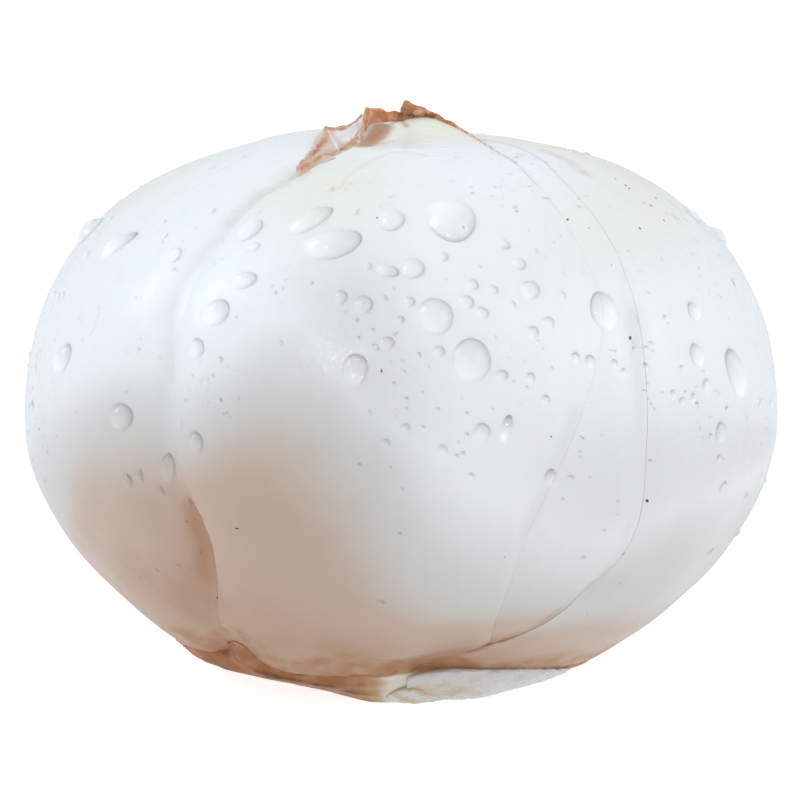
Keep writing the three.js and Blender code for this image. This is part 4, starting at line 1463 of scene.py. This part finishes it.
# The torn flesh's white is a light grey, which paints in the shade low at the base.
torn_flesh = waxy_flesh("wet_torn_flesh", {**LEAF_COLOURS, "white": "#cdcbc8", "tan": "#bca880"},
                        gloss=0.3, film=1.0, ripple=(0.35, 0.0004))
dried_skin = waxy_flesh("dried_leaf_skin", {**LEAF_COLOURS, "white": "#f2f0f0", "shade": "#e4d8d2",
                        "flush": "#dcc6ba", "tan": "#d8b49c", "brown": "#bf8259"}, gloss=0.38, film=0.5)


# %% Water


def clear_water():
    """Water: colourless, IOR 1.333, with a surface that tension has drawn perfectly smooth. Light on its
    way to the skin under a drop passes straight through, scaled by the painted share of light that was worked
    out for each point of the drop, which paints shade and light on the skin below in place of its bends,
    because following each ray round its bends would leave the skin there dark and full of noise."""
    material, tree = new_material("clear_water")
    path = add_node(tree, "ShaderNodeLightPath").outputs
    on_its_way = add_node(tree, "ShaderNodeMath", {0: path["Is Shadow Ray"], 1: path["Is Diffuse Ray"]},
                          operation="MAXIMUM")
    bends = add_node(tree, "ShaderNodeBsdfPrincipled", {
        "Base Color": (1, 1, 1, 1), "Roughness": 0.0, "IOR": 1.333, "Transmission Weight": 1.0})
    painted_light_share = add_node(tree, "ShaderNodeAttribute", attribute_name="painted_light_share").outputs["Fac"]
    passes = add_node(tree, "ShaderNodeBsdfTransparent", {"Color": painted_light_share})
    either = add_node(tree, "ShaderNodeMixShader", {0: on_its_way.outputs[0], 1: bends.outputs[0],
                      2: passes.outputs[0]})
    add_node(tree, "ShaderNodeOutputMaterial", {"Surface": either.outputs[0]})
    return material


water = clear_water()
print(f"{water.name}: {len(water.node_tree.nodes)} nodes")

# %% [markdown]
# ## Which piece stands for which part
#
# Every piece rides on the one body of this object and takes its finish, and a piece that stands for a
# plain solid hides it.

# %% Dress the frame


def dress(piece, material, slot, *nodes):
    """Gives a piece its material and its body, and hides the nodes that it stands for; slot is not used."""
    piece.data.materials.append(material)
    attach(piece, "root")
    if nodes:
        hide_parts(*nodes)


for leaf in OUTER_LEAVES:
    dress(leaf_pieces[leaf["name"]], leaf_flesh, "scale_flesh", leaf["name"])
for leaf in INNER_LEAVES:
    dress(leaf_pieces[leaf["name"]], inner_flesh, "inner_flesh", leaf["name"])
dress(bud, inner_flesh, "inner_flesh", "bud")
dress(basal_plate, plate_flesh, "plate_flesh", "basal_plate")
for piece in (wet_ledge, leaf_stub):
    dress(piece, torn_flesh, "plate_flesh")
for piece in (rim_skin, mouth_skin, soil_specks):
    dress(piece, dried_skin, "dried_skin")
for piece in (large_drops, far_drops, small_drops, spray):
    dress(piece, water, "water")

# %% [markdown]
# ## Floor and light
#
# A white floor, a soft white room that is brightest below, from the floor, and dimmest on the open side
# where the camera stands, one large cool light from the upper left, a larger one from the right, and a
# small one that puts a glint on each drop.

# %% Floor


def white_floor():
    """A matt white floor that also glows a little, so that it stays clean and the shadow on it faint."""
    material, tree = new_material("white_floor")
    shader = add_node(tree, "ShaderNodeBsdfPrincipled", {
        "Base Color": linear("#c4c4c2"), "Roughness": 0.9, "Emission Color": (1, 1, 1, 1),
        "Emission Strength": 0.85})
    add_node(tree, "ShaderNodeOutputMaterial", {"Surface": shader.outputs[0]})
    return material


FLOOR_REACH = 6.0
floor_corners = [(x * FLOOR_REACH, y * FLOOR_REACH, 0) for x, y in ((-1, -1), (1, -1), (1, 1), (-1, 1))]
floor_mesh = bpy.data.meshes.new("floor")
floor_mesh.from_pydata(floor_corners, [], [(0, 1, 2, 3)])
floor = bpy.data.objects.new("floor", floor_mesh)
floor.data.materials.append(white_floor())
floor.visible_diffuse = False
floor.visible_glossy = False
floor.visible_transmission = False
floor.visible_shadow = False
bpy.context.scene.collection.objects.link(floor)
print("floor, m across:", 2 * FLOOR_REACH)

# %% Room
world = bpy.data.worlds.new("soft_room")
world.use_nodes = True
room = world.node_tree
room.nodes.clear()
toward = add_node(room, "ShaderNodeTexCoord").outputs["Generated"]
height = add_node(room, "ShaderNodeSeparateXYZ", {0: toward}).outputs["Z"]
lift = add_node(room, "ShaderNodeMapRange", {"Value": height, "From Min": -0.7, "From Max": 0.4},
                interpolation_type="SMOOTHSTEP").outputs[0]
walls = add_node(room, "ShaderNodeMix", {0: lift, 6: (0.895, 0.895, 0.9, 1), 7: (0.695, 0.715, 0.74, 1)},
                 data_type="RGBA").outputs[2]
ahead = add_node(room, "ShaderNodeSeparateXYZ", {0: toward}).outputs["Y"]
open_side = add_node(room, "ShaderNodeMapRange", {"Value": ahead, "From Min": -0.95, "From Max": -0.5,
                     "To Min": 0.72, "To Max": 1.0}, interpolation_type="SMOOTHSTEP").outputs[0]
walls = add_node(room, "ShaderNodeMix", {0: 1.0, 6: walls, 7: open_side}, data_type="RGBA",
                 blend_type="MULTIPLY").outputs[2]
seen = add_node(room, "ShaderNodeLightPath").outputs["Is Camera Ray"]
backdrop = add_node(room, "ShaderNodeMix", {0: seen, 6: walls, 7: (1.1, 1.1, 1.1, 1)}, data_type="RGBA")
glow = add_node(room, "ShaderNodeBackground", {"Color": backdrop.outputs[2], "Strength": 1.0})
add_node(room, "ShaderNodeOutputWorld", {"Surface": glow.outputs[0]})
bpy.context.scene.world = world
print(f"{world.name}: {len(room.nodes)} nodes")

# %% Lights


def soft_light(name, place, size, power, colour):
    """A square light of size metres at place, aimed at the bulb."""
    data = bpy.data.lights.new(name, "AREA")
    data.shape, data.size, data.energy, data.color = "SQUARE", size, power, linear(colour)[:3]
    light = bpy.data.objects.new(name, data)
    light.location = place
    aim = Vector((0, 0, HEART[2] * MM)) - light.location
    light.rotation_euler = aim.to_track_quat("-Z", "Y").to_euler()
    bpy.context.scene.collection.objects.link(light)


soft_light("key", (-0.62, -0.04, 0.54), 0.36, 1.75, "#e8f0ff")
soft_light("fill", (0.62, -0.3, 0.38), 0.6, 1.75, "#f6faff")
soft_light("glint", (-0.22, -0.62, 0.34), 0.08, 0.55, "#ffffff")
bpy.context.scene.view_settings.view_transform = "Standard"
print("lights:", [light.name for light in bpy.data.lights])
